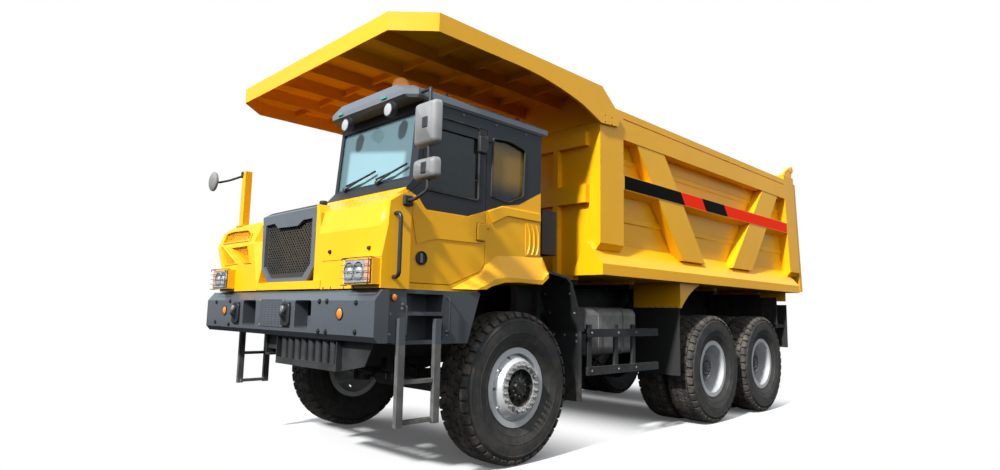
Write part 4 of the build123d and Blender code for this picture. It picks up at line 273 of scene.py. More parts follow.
# ---- finishes ----------------------------------------------------------------------------
EVEN = (0.955, 1.03)            # darkest and lightest tone of an even enamel
PEEL_SCALE = 420.0              # orange peel, in features a metre
PEEL = (0.06, 0.0006)           # its strength and depth
CAST = (0.10, 0.0008)           # strength and depth of a cast or brushed skin
BEAM_PAINTED_SHADE_Z = 1.720            # painted shade: the long beams are black below this
BEAM_PAINTED_SHADE_Y = 3.48             # and ahead of this
GRAB_RAIL_Z = 1.550             # foot of the black grab rail over the ladders
# the cab's paint line as (y, z), and the box that it is drawn in
PAINT_LINE = ((-3.915, 2.302), (-3.81, 2.262), (-3.73, 2.170), (-3.275, 2.170),
              (-3.059, 2.245), (-2.86, 2.315), (-2.635, 2.357), (-2.326, 2.512))
LINE_START, LINE_LENGTH = -3.95, 1.75
LINE_FOOT, LINE_HEIGHT = 2.0, 1.0
PILLAR_Y, PILLAR_FOOT_Z = -3.900, 2.40      # the screen's pillars are slate ahead and above
NOSE_END_Y = -3.93              # nothing ahead of this is slate
LEDGE_DUST = 0.10               # how far dust hides the enamel on ledges
MESH_Y, WALL_Y = GRILLE_FACE + 0.025, GRILLE_FACE + 0.057   # in the grille
MESH_BRONZE = ((0.060, 0.048, 0.030), (0.032, 0.030, 0.026))
# painted shade on the wall behind the grille's mesh: near black, darker than any paint
PAINTED_SHADE_WALL = (0.002, 0.002, 0.002)
SCREEN_Y = -3.55                # the screen's glass is ahead of this, the side panes behind
SCREEN_REFLECTION_X = (0.43, 1.30)           # the screen's painted sky reflection is palest between these
SCREEN_REFLECTION_TOP = (2.845, 2.90)        # and fades out between these
SCREEN_REFLECTION_LEAN = 0.16                # rise of that edge over its run
QUARTER_PAINTED_VIEW = (0.30, 0.17, 0.012)      # painted view of the lit yellow body through the quarter window
# where that painted view lies: its heights, and behind this y
PAINTED_VIEW_Z, PAINTED_VIEW_Y = (2.50, 2.88), -3.00


def enamel(name, colour, dust, dust_below=1.0, rough=0.32, coat=0.12):
    """Gloss enamel: faint cloudiness, fine orange peel, dust low down and on ledges."""
    finish = Finish(name, IOR=1.4, Coat_Weight=coat, Coat_Roughness=0.08, Coat_IOR=1.5)
    cloud = finish.cloud()
    low = 1.0 - finish.place("Z").step(0.45 * dust_below, dust_below)
    dusty = (low * 0.45 + finish.ledge(0.55, 0.95) * LEDGE_DUST) * finish.grit()
    tone = finish.mix(dusty, finish.toned(cloud, colour, *EVEN), dust)
    return finish.made(tone, dusty * 0.45 + (cloud * 0.04 + rough),
                       finish.noise(PEEL_SCALE, 2.0), *PEEL)


def two_tone_enamel(name, colour, dark, dust):
    """Cab enamel: yellow below a stepped line, slate window frames above it."""
    finish = Finish(name, IOR=1.4, Coat_Weight=0.12, Coat_Roughness=0.08, Coat_IOR=1.5)
    stops = [((y - LINE_START) / LINE_LENGTH, ((z - LINE_FOOT) / LINE_HEIGHT,) * 3)
             for y, z in PAINT_LINE]
    along = (finish.place("Y") - LINE_START) / LINE_LENGTH
    share = finish.node("ShaderNodeValToRGB", {"stops": stops}, {"Fac": along})
    line = finish.node("ShaderNodeSeparateColor", sockets={0: share}) * LINE_HEIGHT + LINE_FOOT
    over = (finish.place("Z") - line).step(-0.001, 0.001)
    pillar = (1.0 - finish.above("Y", PILLAR_Y, 0.005)) * (finish.place("Z") > PILLAR_FOOT_Z)
    slate = over.math("MAXIMUM", pillar) * (finish.place("Y") > NOSE_END_Y)
    dusty = finish.ledge(0.55, 0.95) * LEDGE_DUST * finish.grit()
    tone = finish.mix(dusty, finish.toned(finish.cloud(), colour, *EVEN), dust)
    return finish.made(finish.mix(slate, tone, dark), dusty * 0.45 + (slate * 0.12 + 0.26),
                       finish.noise(PEEL_SCALE, 2.0), *PEEL)


def satin_steel(name, colour, dust, metallic=0.0, rough=0.5, dust_below=1.1):
    """Satin coated or bare steel: scuffed patches, brighter rubbed spots, settled dust."""
    finish = Finish(name, Metallic=metallic, IOR=1.5)
    patch = finish.spread(0.38, 0.68, 5.0, 6.0, 0.6)
    scuff = finish.spread(0.56, 0.72, 70.0, 8.0, 0.75, 0.6)
    tone = finish.mix(scuff * 0.35, finish.toned(patch, colour, 0.82, 1.15), scaled(colour, 1.9))
    low = 1.0 - finish.place("Z").step(0.3, dust_below)
    dusty = (low * 0.35 + finish.ledge() * 0.25) * finish.spread(0.35, 0.7, 24.0, 6.0, 0.7)
    return finish.made(finish.mix(dusty, tone, dust),
                       (patch * 0.12 + rough + dusty * 0.25).math("MINIMUM", 0.95),
                       finish.noise(160.0), *CAST)


def polished(name, colour, rough):
    """Silvered glass or a polished reflector, with a few specks."""
    finish = Finish(name, Metallic=1.0, IOR=1.5)
    return finish.made(colour, finish.spread(0.66, 0.8, 60.0, 3.0) * 0.2 + rough)


def film(name, colour):
    """Printed film: flat colour with a faint sheen and fine scratches."""
    finish = Finish(name, IOR=1.35, Specular_IOR_Level=0.06)
    worn = finish.spread(0.62, 0.8, 55.0, 6.0, 0.75, 0.5)
    return finish.made(finish.toned(worn * 0.12, colour, 1.0, 0.6), worn * 0.2 + 0.45)


def grille_enamel(name, colour):
    """Slate surround, dull bronze mesh set in it, and painted shade that makes the wall behind it
    near black.
    """
    finish = Finish(name, IOR=1.5)
    mesh = finish.above("Y", MESH_Y)
    # the wall behind the mesh gets painted shade, near black
    back = finish.above("Y", WALL_Y)
    cloud = finish.spread(0.3, 0.7, 2.2)
    bronze = finish.mix(cloud, *MESH_BRONZE)
    tone = finish.mix(mesh, finish.toned(cloud, colour, 0.85, 1.15), bronze)
    finish.set("Coat Weight", 0.4 - mesh * 0.4)
    return finish.made(finish.mix(back, tone, PAINTED_SHADE_WALL), mesh * 0.25 + 0.32,
                       finish.noise(PEEL_SCALE, 2.0), *PEEL)


def beam_enamel(name, colour, black):
    """Yellow beams, with painted shade that makes the long beams black low down and ahead of the
    rear brackets.
    """
    finish = Finish(name, IOR=1.4)
    # painted shade: black on the long beams below and ahead of the set places
    under = (1.0 - finish.above("Z", BEAM_PAINTED_SHADE_Z, 0.005)) * (finish.place("Y") < BEAM_PAINTED_SHADE_Y)
    grime = finish.spread(0.4, 0.75, 6.0, 6.0, 0.7)
    tone = finish.mix(under, finish.toned(grime * 0.4, colour, 1.0, 0.5), black)
    return finish.made(tone, grime * 0.2 + 0.4, finish.noise(120.0), *CAST)


def mud_bracket(name, colour, rubber):
    """Yellow bracket over a black rubber flap."""
    finish = Finish(name, IOR=1.5)
    flap = 1.0 - finish.above("Z", FLAP_EDGE_Z)
    finish.set("Coat Weight", 0.3 - flap * 0.3)
    tone = finish.mix(flap, finish.toned(finish.cloud(), colour, *EVEN), rubber)
    return finish.made(tone, flap * 0.35 + 0.30, finish.noise(120.0), *CAST)


def ladder_steel(name, colour, box, rail, dust):
    """Worn steel of the ladders, painted on the step boxes, and the black grab rail."""
    finish = Finish(name, IOR=1.5)
    upper = finish.above("Z", GRAB_RAIL_Z, 0.005)
    on_box = finish.above("Z", BOX_FOOT)
    patch = finish.spread(0.38, 0.68, 7.0, 6.0, 0.6)
    tread = finish.ledge() * finish.spread(0.35, 0.7, 24.0, 6.0, 0.7)
    tone = finish.mix(tread * 0.5, finish.toned(patch, colour, 0.75, 1.15), dust)
    finish.set("Metallic", 0.3 - on_box * 0.3)
    return finish.made(finish.mix(upper, finish.mix(on_box, tone, box), rail),
                       patch * 0.15 + 0.45 - upper * 0.15, finish.noise(160.0), *CAST)


def tyre_rubber(name, colour, dust, amount):
    """Tyre rubber with dry earth rubbed over it."""
    finish = Finish(name, IOR=1.5, Specular_IOR_Level=0.35)
    cake = finish.spread(0.36, 0.72, 9.0, 7.0, 0.65, 0.4)
    fine = finish.spread(0.35, 0.75, 90.0, 5.0, 0.7)
    dusty = (cake * (fine * 0.55 + 0.25) * (0.62 * amount)).math("MINIMUM", 0.85)
    return finish.made(finish.mix(dusty, colour, dust), dusty * 0.25 + 0.68,
                       finish.noise(260.0), 0.25, 0.0015)


def rubber_sheet(name, colour, dust):
    """Flap and hose rubber, with streaks of dust that run down."""
    finish = Finish(name, IOR=1.5, Specular_IOR_Level=0.4)
    stretched = finish.node("ShaderNodeMapping", {"vector_type": "POINT"},
                            {"Vector": finish.place(), "Scale": (14.0, 14.0, 1.6)})
    streak = finish.node("ShaderNodeTexNoise", sockets={
        "Vector": stretched, "Scale": 1.0, "Detail": 6.0, "Roughness": 0.7}).step(0.45, 0.8)
    return finish.made(finish.mix(streak * 0.3, colour, dust), streak * 0.15 + 0.6,
                       finish.noise(120.0), 0.12, 0.001)


def silver_enamel(name, colour, dust):
    """Silver wheel enamel: fine metal flake, and brake dust in patches."""
    finish = Finish(name, Metallic=0.40, IOR=1.5, Coat_Weight=0.3, Coat_Roughness=0.15)
    flake = finish.spread(0.35, 0.65, 650.0, 2.0)
    grime = finish.spread(0.5, 0.8, 14.0, 7.0, 0.7) * 0.4
    return finish.made(finish.mix(grime, finish.toned(flake, colour, 0.93, 1.05), dust),
                       grime * 0.4 + 0.33, finish.noise(300.0, 2.0), 0.05, 0.0005)


def window_glass(name, tint, alpha):
    """Tinted safety glass with a thin film of dust."""
    finish = Finish(name, IOR=1.52, Specular_IOR_Level=0.9)
    dusty = finish.haze()
    finish.set("Alpha", dusty + alpha)
    return finish.made(tint, dusty + 0.02)


def cab_glass(name, front, side):
    """Windscreen coloured with a painted sky reflection, palest in a leaning patch; dark tinted
    panes at the sides and rear, with a painted view of the yellow body in the quarter window.
    """
    finish = Finish(name, IOR=1.52, Specular_IOR_Level=0.9)
    dusty = finish.haze()
    screen = 1.0 - finish.above("Y", SCREEN_Y, 0.05)
    lean = finish.place("Z") + finish.place("X") * SCREEN_REFLECTION_LEAN
    # painted sky reflection: full in a leaning patch of the screen, darker around it
    pale = finish.within("X", *SCREEN_REFLECTION_X, 0.035) * (1.0 - lean.step(*SCREEN_REFLECTION_TOP))
    # painted view of the lit yellow body in the quarter window
    glow = finish.within("Z", *PAINTED_VIEW_Z, 0.10) * finish.above("Y", PAINTED_VIEW_Y, 0.02)
    tone = finish.mix(screen, finish.mix(glow, side, QUARTER_PAINTED_VIEW),
                      finish.toned(pale, front, 0.42, 1.0))
    finish.set("Alpha", dusty + 0.72 + screen * 0.10)
    return finish.made(tone, dusty + 0.02)


def lens(name, colour, ribs=180.0, glow=0.0):
    """Moulded lamp lens with fine ribs."""
    finish = Finish(name, IOR=1.5, Coat_Weight=0.8, Coat_Roughness=0.03,
                    Emission_Color=colour, Emission_Strength=glow)
    rib = finish.waves("X", ribs)
    return finish.made(finish.toned(rib, colour, 0.7, 1.1), rib * 0.08 + 0.12, rib, 0.4, 0.001)


def woven_cloth(name, colour):
    """Seat cloth: plain weave with a soft nap."""
    finish = Finish(name, Sheen_Weight=0.3, Sheen_Roughness=0.5)
    weave = finish.waves("X", 160.0) * finish.waves("Y", 160.0)
    return finish.made(finish.toned(weave, colour, 0.6, 1.3), weave * 0.1 + 0.8,
                       weave, 0.3, 0.001)


def moulded_plastic(name, colour):
    """Grained black plastic of mirrors, dash and buffers."""
    finish = Finish(name, IOR=1.46)
    grain = finish.node("ShaderNodeTexVoronoi", {"feature": "F1"},
                        {"Vector": finish.place(), "Scale": 700.0})
    shade = finish.spread(0.3, 0.7, 4.0)
    return finish.made(finish.toned(shade, colour, 0.85, 1.2), grain * 0.12 + 0.45,
                       grain, 0.12, 0.0006)


def make_finishes(paints):
    """Every finish by name."""
    dust, yellow, slate, black, steel, silver, tyre, red = (
        tuple(getattr(paints, key)) for key in (
            "site_dust", "body_yellow", "cab_dark", "chassis_black", "worn_steel",
            "rim_silver", "tyre_black", "stripe_red"))
    recipes = {
        "body yellow": (enamel, yellow, dust),
        "cab two tone": (two_tone_enamel, yellow, scaled(slate, 0.30), dust),
        "slate": (enamel, slate, dust, 1.2, 0.30, 0.45),
        "roof slate": (enamel, scaled(slate, 2.2), dust, 1.2, 0.30, 0.3),
        "beam yellow": (beam_enamel, yellow, black),
        "grille": (grille_enamel, scaled(slate, 1.35)),
        "mud bracket": (mud_bracket, yellow, scaled(tyre, 0.6)),
        "ladder": (ladder_steel, scaled(steel, 0.62), slate, black, dust),
        "chassis black": (satin_steel, black, dust),
        "cast black": (satin_steel, scaled(black, 0.8), dust, 0.2, 0.45),
        "worn steel": (satin_steel, steel, dust, 0.35, 0.5),
        "rim silver": (silver_enamel, silver, dust),
        "tyre": (tyre_rubber, tyre, dust, 0.55),
        "tyre tread": (tyre_rubber, tyre, dust, 1.5),
        "flap rubber": (rubber_sheet, scaled(tyre, 0.6), dust),
        # the screen's pale blue is a painted sky reflection
        "cab glass": (cab_glass, (0.27, 0.45, 0.50), (0.012, 0.013, 0.011)),
        "lamp cover": (window_glass, (0.75, 0.78, 0.78), 0.14),
        "mirror glass": (polished, (0.30, 0.31, 0.30), 0.05),
        "reflector": (polished, (0.62, 0.63, 0.64), 0.16),
        "hub grey": (satin_steel, (0.075, 0.075, 0.075), dust, 0.3, 0.42),
        "deep shade": (moulded_plastic, (0.60, 0.34, 0.06)),
        "side glass": (window_glass, (0.014, 0.015, 0.012), 0.82),
        "clear lens": (lens, (0.50, 0.52, 0.52)),
        "amber lens": (lens, (0.90, 0.26, 0.02)),
        "red lens": (lens, (0.55, 0.015, 0.01)),
        "beacon lens": (lens, (0.85, 0.36, 0.10), 60.0, 0.35),
        "marker lens": (lens, (0.06, 0.42, 0.33)),
        "seat cloth": (woven_cloth, (0.035, 0.036, 0.040)),
        "black plastic": (moulded_plastic, (0.030, 0.031, 0.033)),
        "grey plastic": (moulded_plastic, (0.21, 0.21, 0.21)),
        "bright metal": (satin_steel, (0.62, 0.62, 0.61), dust, 1.0, 0.22, 0.7),
        "stripe black": (film, (0.003, 0.003, 0.003)),
        "stripe red": (film, red),
    }
    return {name: recipe(name, *values) for name, (recipe, *values) in recipes.items()}


# the finish of each CAD node that stays in view
NODE_FINISH = {
    "body yellow": ("tub", "body_frames", "canopy", "tailgate", "gate_ears",
                    "hood", "right_box"),
    "mud bracket": ("body_flaps",),
    "grille": ("grille",),
    "ladder": ("ladders",),
    "cab two tone": ("cab_shell", "door_panel"),
    "slate": ("front_bumper", "step_boxes"),
    "roof slate": ("cab_roof",),
    "beam yellow": ("underframe",),
    "chassis black": ("frame", "front_axle", "drive_axles", "springs", "engine", "propshafts",
                      "side_guards", "lower_guard", "front_mudguards", "air_box",
                      "hoist_barrels", "knuckle_left", "knuckle_right", "tie_rod"),
    "cast black": ("tow_hooks",),
    "worn steel": ("side_tanks",),
    "rim silver": ("front_rim_left", "front_rim_right", "fore_rims_left", "fore_rims_right",
                   "aft_rims_left", "aft_rims_right"),
    "tyre": ("front_tyre_left", "front_tyre_right", "fore_tyres_left", "fore_tyres_right",
             "aft_tyres_left", "aft_tyres_right"),
    "flap rubber": ("rear_flaps",),
    "cab glass": ("cab_glass",),
    "side glass": ("door_glass",),
    "clear lens": ("lamps",),
    "black plastic": ("dashboard", "mirrors"),
    "seat cloth": ("driver_seat",),
    "bright metal": ("hoist_stages", "hoist_rods"),
}
FINISHES = {}


class PaintFrame(bpy.types.Operator):
    """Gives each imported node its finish."""
    bl_idname = "truck.paint_frame"
    bl_label = "Paint the packed model"

    def execute(self, context):
        FINISHES.update(make_finishes(context.scene.truck_paints))
        for finish, nodes in NODE_FINISH.items():
            for node in nodes:
                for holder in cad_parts[node].material_slots:
                    holder.material = FINISHES[finish]
        return {"FINISHED"}


# ---- mesh helpers ------------------------------------------------------------------------
def inset(outline, distance):
    """Outline moved inward by a distance, corner by corner, for a closed run of points."""
    turn = sum(a[0] * b[1] - b[0] * a[1] for a, b in zip(outline, outline[1:] + outline[:1]))
    side = 1.0 if turn > 0 else -1.0
    moved = []
    for before, here, after in zip(outline[-1:] + outline[:-1], outline,
                                   outline[1:] + outline[:1]):
        first = Vector((here[0] - before[0], here[1] - before[1])).normalized()
        second = Vector((after[0] - here[0], after[1] - here[1])).normalized()
        normals = Vector((-first.y - second.y, first.x + second.x)) * side
        reach = distance / max(0.35, 1.0 + first.dot(second))
        moved.append((here[0] + normals.x * reach, here[1] + normals.y * reach))
    return moved


def placed(axis, level, point):
    """Point of a flat outline set at a level across an axis."""
    if axis == "X":
        return (level, point[0], point[1])
    if axis == "Y":
        return (point[0], level, point[1])
    return (point[0], point[1], level)


def spot(centre, axis, along, radius, angle):
    """Point so far along an axis from a centre, and off that axis at an angle."""
    offset = placed(axis, along, (radius * cos(angle), radius * sin(angle)))
    return tuple(c + o for c, o in zip(centre, offset))


def around(centre, axis, along, radius, count, start=0.0):
    """Even places round an axis, the first one at an angle."""
    return [spot(centre, axis, along, radius, start + 2 * pi * i / count) for i in range(count)]


def rounded(u_low, u_high, v_low, v_high, radius, steps=4):
    """Rectangle with rounded corners, as a closed run of points."""
    points = []
    for u, v, start in ((u_high - radius, v_low + radius, -90),
                        (u_high - radius, v_high - radius, 0),
                        (u_low + radius, v_high - radius, 90),
                        (u_low + radius, v_low + radius, 180)):
        for count in range(steps + 1):
            angle = radians(start + 90 * count / steps)
            points.append((u + radius * cos(angle), v + radius * sin(angle)))
    return points


def softened(path, bend, steps=4):
    """Path with its corners rounded over a length on each side."""
    path = [Vector(point) for point in path]
    points = [path[0]]
    for before, here, after in zip(path, path[1:], path[2:]):
        start = here + (before - here).normalized() * bend
        end = here + (after - here).normalized() * bend
        for count in range(steps + 1):
            share = count / steps
            points.append(start.lerp(here, share).lerp(here.lerp(end, share), share))
    return points + [path[-1]]


class Shape:
    """A mesh being made from shells, each with its own finish."""

    def __init__(self):
        self.mesh = bmesh.new()
        self.finishes = []

    def shell(self, finish, points, faces):
        """Adds points and the faces between them."""
        if finish not in self.finishes:
            self.finishes.append(finish)
        corners = [self.mesh.verts.new(point) for point in points]
        for face in faces:
            made = self.mesh.faces.new([corners[i] for i in face])
            made.material_index = self.finishes.index(finish)

    def loft(self, finish, rings, closed=False, capped=True):
        """Skin through rings of equally many points, capped unless it closes on itself."""
        count = len(rings[0])
        last = len(rings) - 1
        faces = []
        for a in range(len(rings) if closed else last):
            b = (a + 1) % len(rings)
            for i in range(count):
                j = (i + 1) % count
                faces.append((a * count + i, a * count + j, b * count + j, b * count + i))
        if capped and not closed:
            faces.append(tuple(reversed(range(count))))
            faces.append(tuple(range(last * count, last * count + count)))
        self.shell(finish, [point for ring in rings for point in ring], faces)

    def prism(self, finish, outline, axis, low, high, bevel=0.0):
        """Outline extruded across an axis, with bevelled ends."""
        levels = [(low, bevel), (low + bevel, 0.0), (high - bevel, 0.0), (high, bevel)]
        if not bevel:
            levels = [(low, 0.0), (high, 0.0)]
        self.loft(finish, [[placed(axis, level, point) for point in inset(outline, gap)]
                           for level, gap in levels])

    def block(self, finish, low, high, bevel=0.003):
        """Box between two corners with bevelled edges."""
        (x_0, y_0, z_0), (x_1, y_1, z_1) = low, high
        outline = [(x_0, y_0 + bevel), (x_0 + bevel, y_0), (x_1 - bevel, y_0), (x_1, y_0 + bevel),
                   (x_1, y_1 - bevel), (x_1 - bevel, y_1), (x_0 + bevel, y_1), (x_0, y_1 - bevel)]
        self.prism(finish, outline, "Z", z_0, z_1, bevel)

    def lathe(self, finish, profile, centre, axis="X", side=1, sides=32):
        """Profile of (along, radius) turned about an axis through a centre."""
        self.loft(finish, [around(centre, axis, side * along, radius, sides)
                           for along, radius in profile])

    def ring(self, finish, section, centre, axis="X", side=1, sides=64):
        """Closed section of (along, radius) turned about an axis."""
        self.loft(finish, [[spot(centre, axis, side * along, radius, 2 * pi * i / sides)
                            for along, radius in section] for i in range(sides)], closed=True)

    def rod(self, finish, path, radius, sides=10, closed=False):
        """Round bar along a path."""
        path = [Vector(point) for point in path]
        ends = zip(path[-1:] + path[:-1], path[1:] + path[:1]) if closed else \
            zip(path[:1] + path[:-1], path[1:] + path[-1:])
        rings = []
        across = None
        for here, (before, after) in zip(path, ends):
            run = (after - before).normalized()
            if across is None:
                across = run.orthogonal().normalized()
            across = (across - run * across.dot(run)).normalized()
            other = run.cross(across)
            rings.append([tuple(here + (across * cos(2 * pi * i / sides)
                                        + other * sin(2 * pi * i / sides)) * radius)
                          for i in range(sides)])
        self.loft(finish, rings, closed)

    def loop(self, finish, corners, radius, bend, sides=8):
        """Round bar along a closed run of corners, each rounded in three steps."""
        path = softened(corners + corners[:1], bend, 3)[:-1]
        self.rod(finish, path, radius, sides, closed=True)

    def bolt(self, finish, centre, axis="Y", side=-1, flats=0.03, height=0.012):
        """Hexagon bolt head on its washer."""
        across = flats / sqrt(3)
        self.lathe(finish, [(0, across * 1.35), (height * 0.2, across * 1.3)], centre, axis,
                   side, 14)
        self.lathe(finish, [(height * 0.2, across), (height * 0.85, across),
                            (height, across * 0.8)], centre, axis, side, 6)

    def done(self, name, body, replaces=(), sharp=35.0):
        """Turns the shells into a piece that rides on a body."""
        bmesh.ops.recalc_face_normals(self.mesh, faces=self.mesh.faces)
        data = bpy.data.meshes.new(name)
        self.mesh.to_mesh(data)
        self.mesh.free()
        data.shade_smooth()
        data.set_sharp_from_angle(angle=radians(sharp))
        for finish in self.finishes:
            data.materials.append(FINISHES[finish])
        piece = bpy.data.objects.new(name, data)
        bpy.context.scene.collection.objects.link(piece)
        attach(piece, body)
        if replaces:
            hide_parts(*replaces)
        return piece


def middle(node):
    """Centre of a node's box."""
    low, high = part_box(node)
    return (low + high) / 2


# ---- wheels ------------------------------------------------------------------------------
AXLE_Y = middle("front_tyre_left").y
TYRE_RADIUS = 0.685
FRONT_PLANES = (middle("front_tyre_left").x,)
TWIN_PLANES = (1.033, 1.453)
# (node, body, side, planes of the tyres)
WHEELS = {"front_left": ("front_tyre_left", "front_wheel_left", 1, FRONT_PLANES),
          "front_right": ("front_tyre_right", "front_wheel_right", -1, FRONT_PLANES),
          "fore_left": ("fore_tyres_left", "fore_twin_left", 1, TWIN_PLANES),
          "fore_right": ("fore_tyres_right", "fore_twin_right", -1, TWIN_PLANES),
          "aft_left": ("aft_tyres_left", "aft_twin_left", 1, TWIN_PLANES),
          "aft_right": ("aft_tyres_right", "aft_twin_right", -1, TWIN_PLANES)}
PITCHES = 40                # tread blocks round the tyre
PITCH = 2 * pi * TYRE_RADIUS / PITCHES
BLOCK_HALF = PITCH / 2 - 0.006
TREAD_DEPTH = 0.021
SHOULDER_START, SHOULDER_TAPER = 0.125, 0.16    # the gaps widen from here outward
# (across, radius) over half of the tread and its shoulder
CROWN = ((0.0, 0.685), (0.10, 0.6842), (0.140, 0.681), (0.158, 0.674), (0.170, 0.661),
         (0.1775, 0.643), (0.1820, 0.620))
# (across, radius) down the side wall, with its moulded rings
SIDE_WALL = ((0.170, 0.618), (0.1812, 0.611), (0.1835, 0.603), (0.1862, 0.601),
             (0.1865, 0.596), (0.1845, 0.593), (0.1868, 0.560), (0.1872, 0.528),
             (0.1855, 0.500), (0.1870, 0.498), (0.1868, 0.493), (0.1845, 0.491),
             (0.1785, 0.462), (0.1690, 0.432), (0.1705, 0.429), (0.1690, 0.424),
             (0.1640, 0.422), (0.1530, 0.398), (0.1410, 0.377), (0.1390, 0.366),
             (0.1275, 0.363), (0.1275, 0.322))
# runs across the tread at which the groove floor bends
FLOOR_RUNS = (-0.195, -0.17, -0.14, -0.10, 0.0, 0.10, 0.14, 0.17, 0.195)
# block rows of the tread: (half-pitches of stagger, lengthwise slant, [run across at the
# ends, run across in the middle] from the inner edge to the outer edge)
BLOCK_ROWS = ((0, 0.30, ((-0.036, -0.044), (0.036, 0.044))),
              (1, 0.22, ((0.053, 0.045), (0.105, 0.113))),
              (0, 0.10, ((0.122, 0.114), (0.142, 0.138), (0.158, 0.158), (0.172, 0.172),
                         (0.190, 0.190), (0.203, 0.206))))


def crown_at(run):
    """(across, radius) at a run from the middle of the tread, with the outward normal."""
    left = abs(run)
    for (x_a, r_a), (x_b, r_b) in zip(CROWN, CROWN[1:]):
        length = sqrt((x_b - x_a) ** 2 + (r_b - r_a) ** 2)
        if left <= length or (x_b, r_b) == CROWN[-1]:
            share = left / length
            normal = ((r_a - r_b) / length, (x_b - x_a) / length)
            return (x_a + (x_b - x_a) * share, r_a + (r_b - r_a) * share), normal
        left -= length
    raise ValueError(run)


def tread_point(run, along, depth):
    """Point of the tread on a wheel centred on the origin, facing +X."""
    (across, radius), normal = crown_at(run)
    across -= normal[0] * depth
    radius -= normal[1] * depth
    if run < 0:
        across = -across
    angle = along / TYRE_RADIUS
    return (across, radius * cos(angle), radius * sin(angle))


def tread_block(rows, slant, along, mirror):
    """Points and faces of one tread block."""
    last = len(rows) - 1
    lean = [slant * (ends + mid) / 2 for ends, mid in rows]
    half = [BLOCK_HALF - max(0.0, ends - SHOULDER_START) * SHOULDER_TAPER for ends, _ in rows]
    outline = [(-half[k] + lean[k], rows[k][0]) for k in range(last + 1)]
    outline.append((lean[last], rows[last][1]))
    outline += [(half[k] + lean[k], rows[k][0]) for k in range(last, -1, -1)]
    outline.append((lean[0], rows[0][1]))
    count = len(outline)
    points = []
    # (depth below the crown, inset) of the block's foot, its edge and its face
    for depth, gap in ((TREAD_DEPTH, -0.002), (0.004, 0.0), (0.0, 0.0035)):
        points += [tread_point(mirror * run, along + s, depth) for s, run in inset(outline, gap)]
    points += [tread_point(mirror * rows[k][1], along + lean[k], 0.0) for k in range(1, last)]
    faces = [(level + i, level + (i + 1) % count, level + count + (i + 1) % count,
              level + count + i) for level in (0, count) for i in range(count)]
    # the face is two strips of quads on each side of its middle line
    top = 2 * count
    spine = [top + count - 1, *range(top + count, top + count + last - 1), top + last + 1]
    for k in range(last):
        right = top + last + 2 + (last - k)
        faces.append((top + k, top + k + 1, spine[k + 1], spine[k]))
        faces.append((spine[k], spine[k + 1], right - 1, right))
    return points, faces


def add_tyre(shape, centre, side):
    """Tyre with its blocks, groove floor and side walls."""
    floor = [tread_point(run, 0.0, TREAD_DEPTH)[:2] for run in FLOOR_RUNS]
    section = [(-across, radius) for across, radius in reversed(SIDE_WALL)]
    shape.ring("tyre", section + floor + list(SIDE_WALL), centre, "X", side, 80)
    for stagger, slant, rows in BLOCK_ROWS:
        for mirror in ((1,) if rows[0][0] < 0 else (1, -1)):
            for count in range(PITCHES):
                points, faces = tread_block(rows, slant, (count + stagger / 2) * PITCH, mirror)
                points = [(centre[0] + side * x, centre[1] + y, centre[2] + z)
                          for x, y, z in points]
                shape.shell("tyre tread", points, faces)


class FitTyres(bpy.types.Operator):
    """Tyres with staggered tread blocks."""
    bl_idname = "truck.fit_tyres"
    bl_label = "Fit the tyres"

    def execute(self, context):
        for name, (node, body, side, planes) in WHEELS.items():
            shape = Shape()
            for plane in planes:
                add_tyre(shape, (side * plane, middle(node).y, TYRE_RADIUS), side)
            shape.done(f"tyres_{name}", body, (node,), 30.0)
        return {"FINISHED"}


# ---- hubs: (along, radius) profiles from the wheel's plane outward -----------------------
HUB_SLEEVE = ((0.1885, 0.1665), (0.1300, 0.1585), (0.1300, 0.100), (0.1335, 0.100),
              (0.1335, 0.1555), (0.1885, 0.1635))
HUB_CAP = ((0.125, 0.112), (0.158, 0.106), (0.170, 0.086), (0.171, 0.066), (0.180, 0.064),
           (0.188, 0.056), (0.190, 0.03))
TWIN_COVER = ((-0.055, 0.193), (0.000, 0.180), (0.0215, 0.173), (0.042, 0.124),
              (0.043, 0.050), (0.055, 0.046), (0.058, 0.020))
STUD = ((0.02, 0.0095), (0.036, 0.0095), (0.039, 0.007))
SPOKES = 10
NUTS = 20
STEERED_NUTS = (0.190, 0.203)       # (along, radius) of the ring of wheel nuts
TWIN_NUTS = (-0.110, 0.238)


def steered_hub(shape, centre, side):
    """Ribbed sleeve and cap of a steered wheel."""
    shape.ring("cast black", HUB_SLEEVE, centre, "X", side)
    shape.lathe("cast black", HUB_CAP, centre, "X", side, 40)
    for count in range(SPOKES):
        angle = 2 * pi * count / SPOKES
        shape.rod("cast black", [spot(centre, "X", side * 0.150, 0.100, angle),
                                 spot(centre, "X", side * 0.146, 0.158, angle)], 0.009, 6)
        shape.bolt("worn steel", spot(centre, "X", side * 0.168, 0.077, angle + 0.3),
                   "X", side, 0.013, 0.010)


def twin_hub(shape, centre, side):
    """Dished cover of a pair of drive wheels, with its bolts."""
    shape.lathe("hub grey", TWIN_COVER, centre, "X", side, 48)
    for at in around(centre, "X", side * 0.0425, 0.094, 12):
        shape.bolt("cast black", at, "X", side, 0.018, 0.012)


class FitHubs(bpy.types.Operator):
    """Wheel nuts, ribbed hubs of the steered wheels and hub covers of the twin wheels."""
    bl_idname = "truck.fit_hubs"
    bl_label = "Fit nuts and hubs"

    def execute(self, context):
        flats = context.scene.truck_sizes.wheel_nut
        for name, (node, body, side, planes) in WHEELS.items():
            twin = planes == TWIN_PLANES
            centre = (side * planes[-1], middle(node).y, TYRE_RADIUS)
            shape = Shape()
            (twin_hub if twin else steered_hub)(shape, centre, side)
            along, radius = TWIN_NUTS if twin else STEERED_NUTS
            for at in around(centre, "X", side * along, radius, NUTS, pi / NUTS):
                shape.bolt("worn steel", at, "X", side, flats, 0.024)
                shape.lathe("worn steel", STUD, at, "X", side, 10)
            shape.done(f"hub_{name}", body)
        return {"FINISHED"}


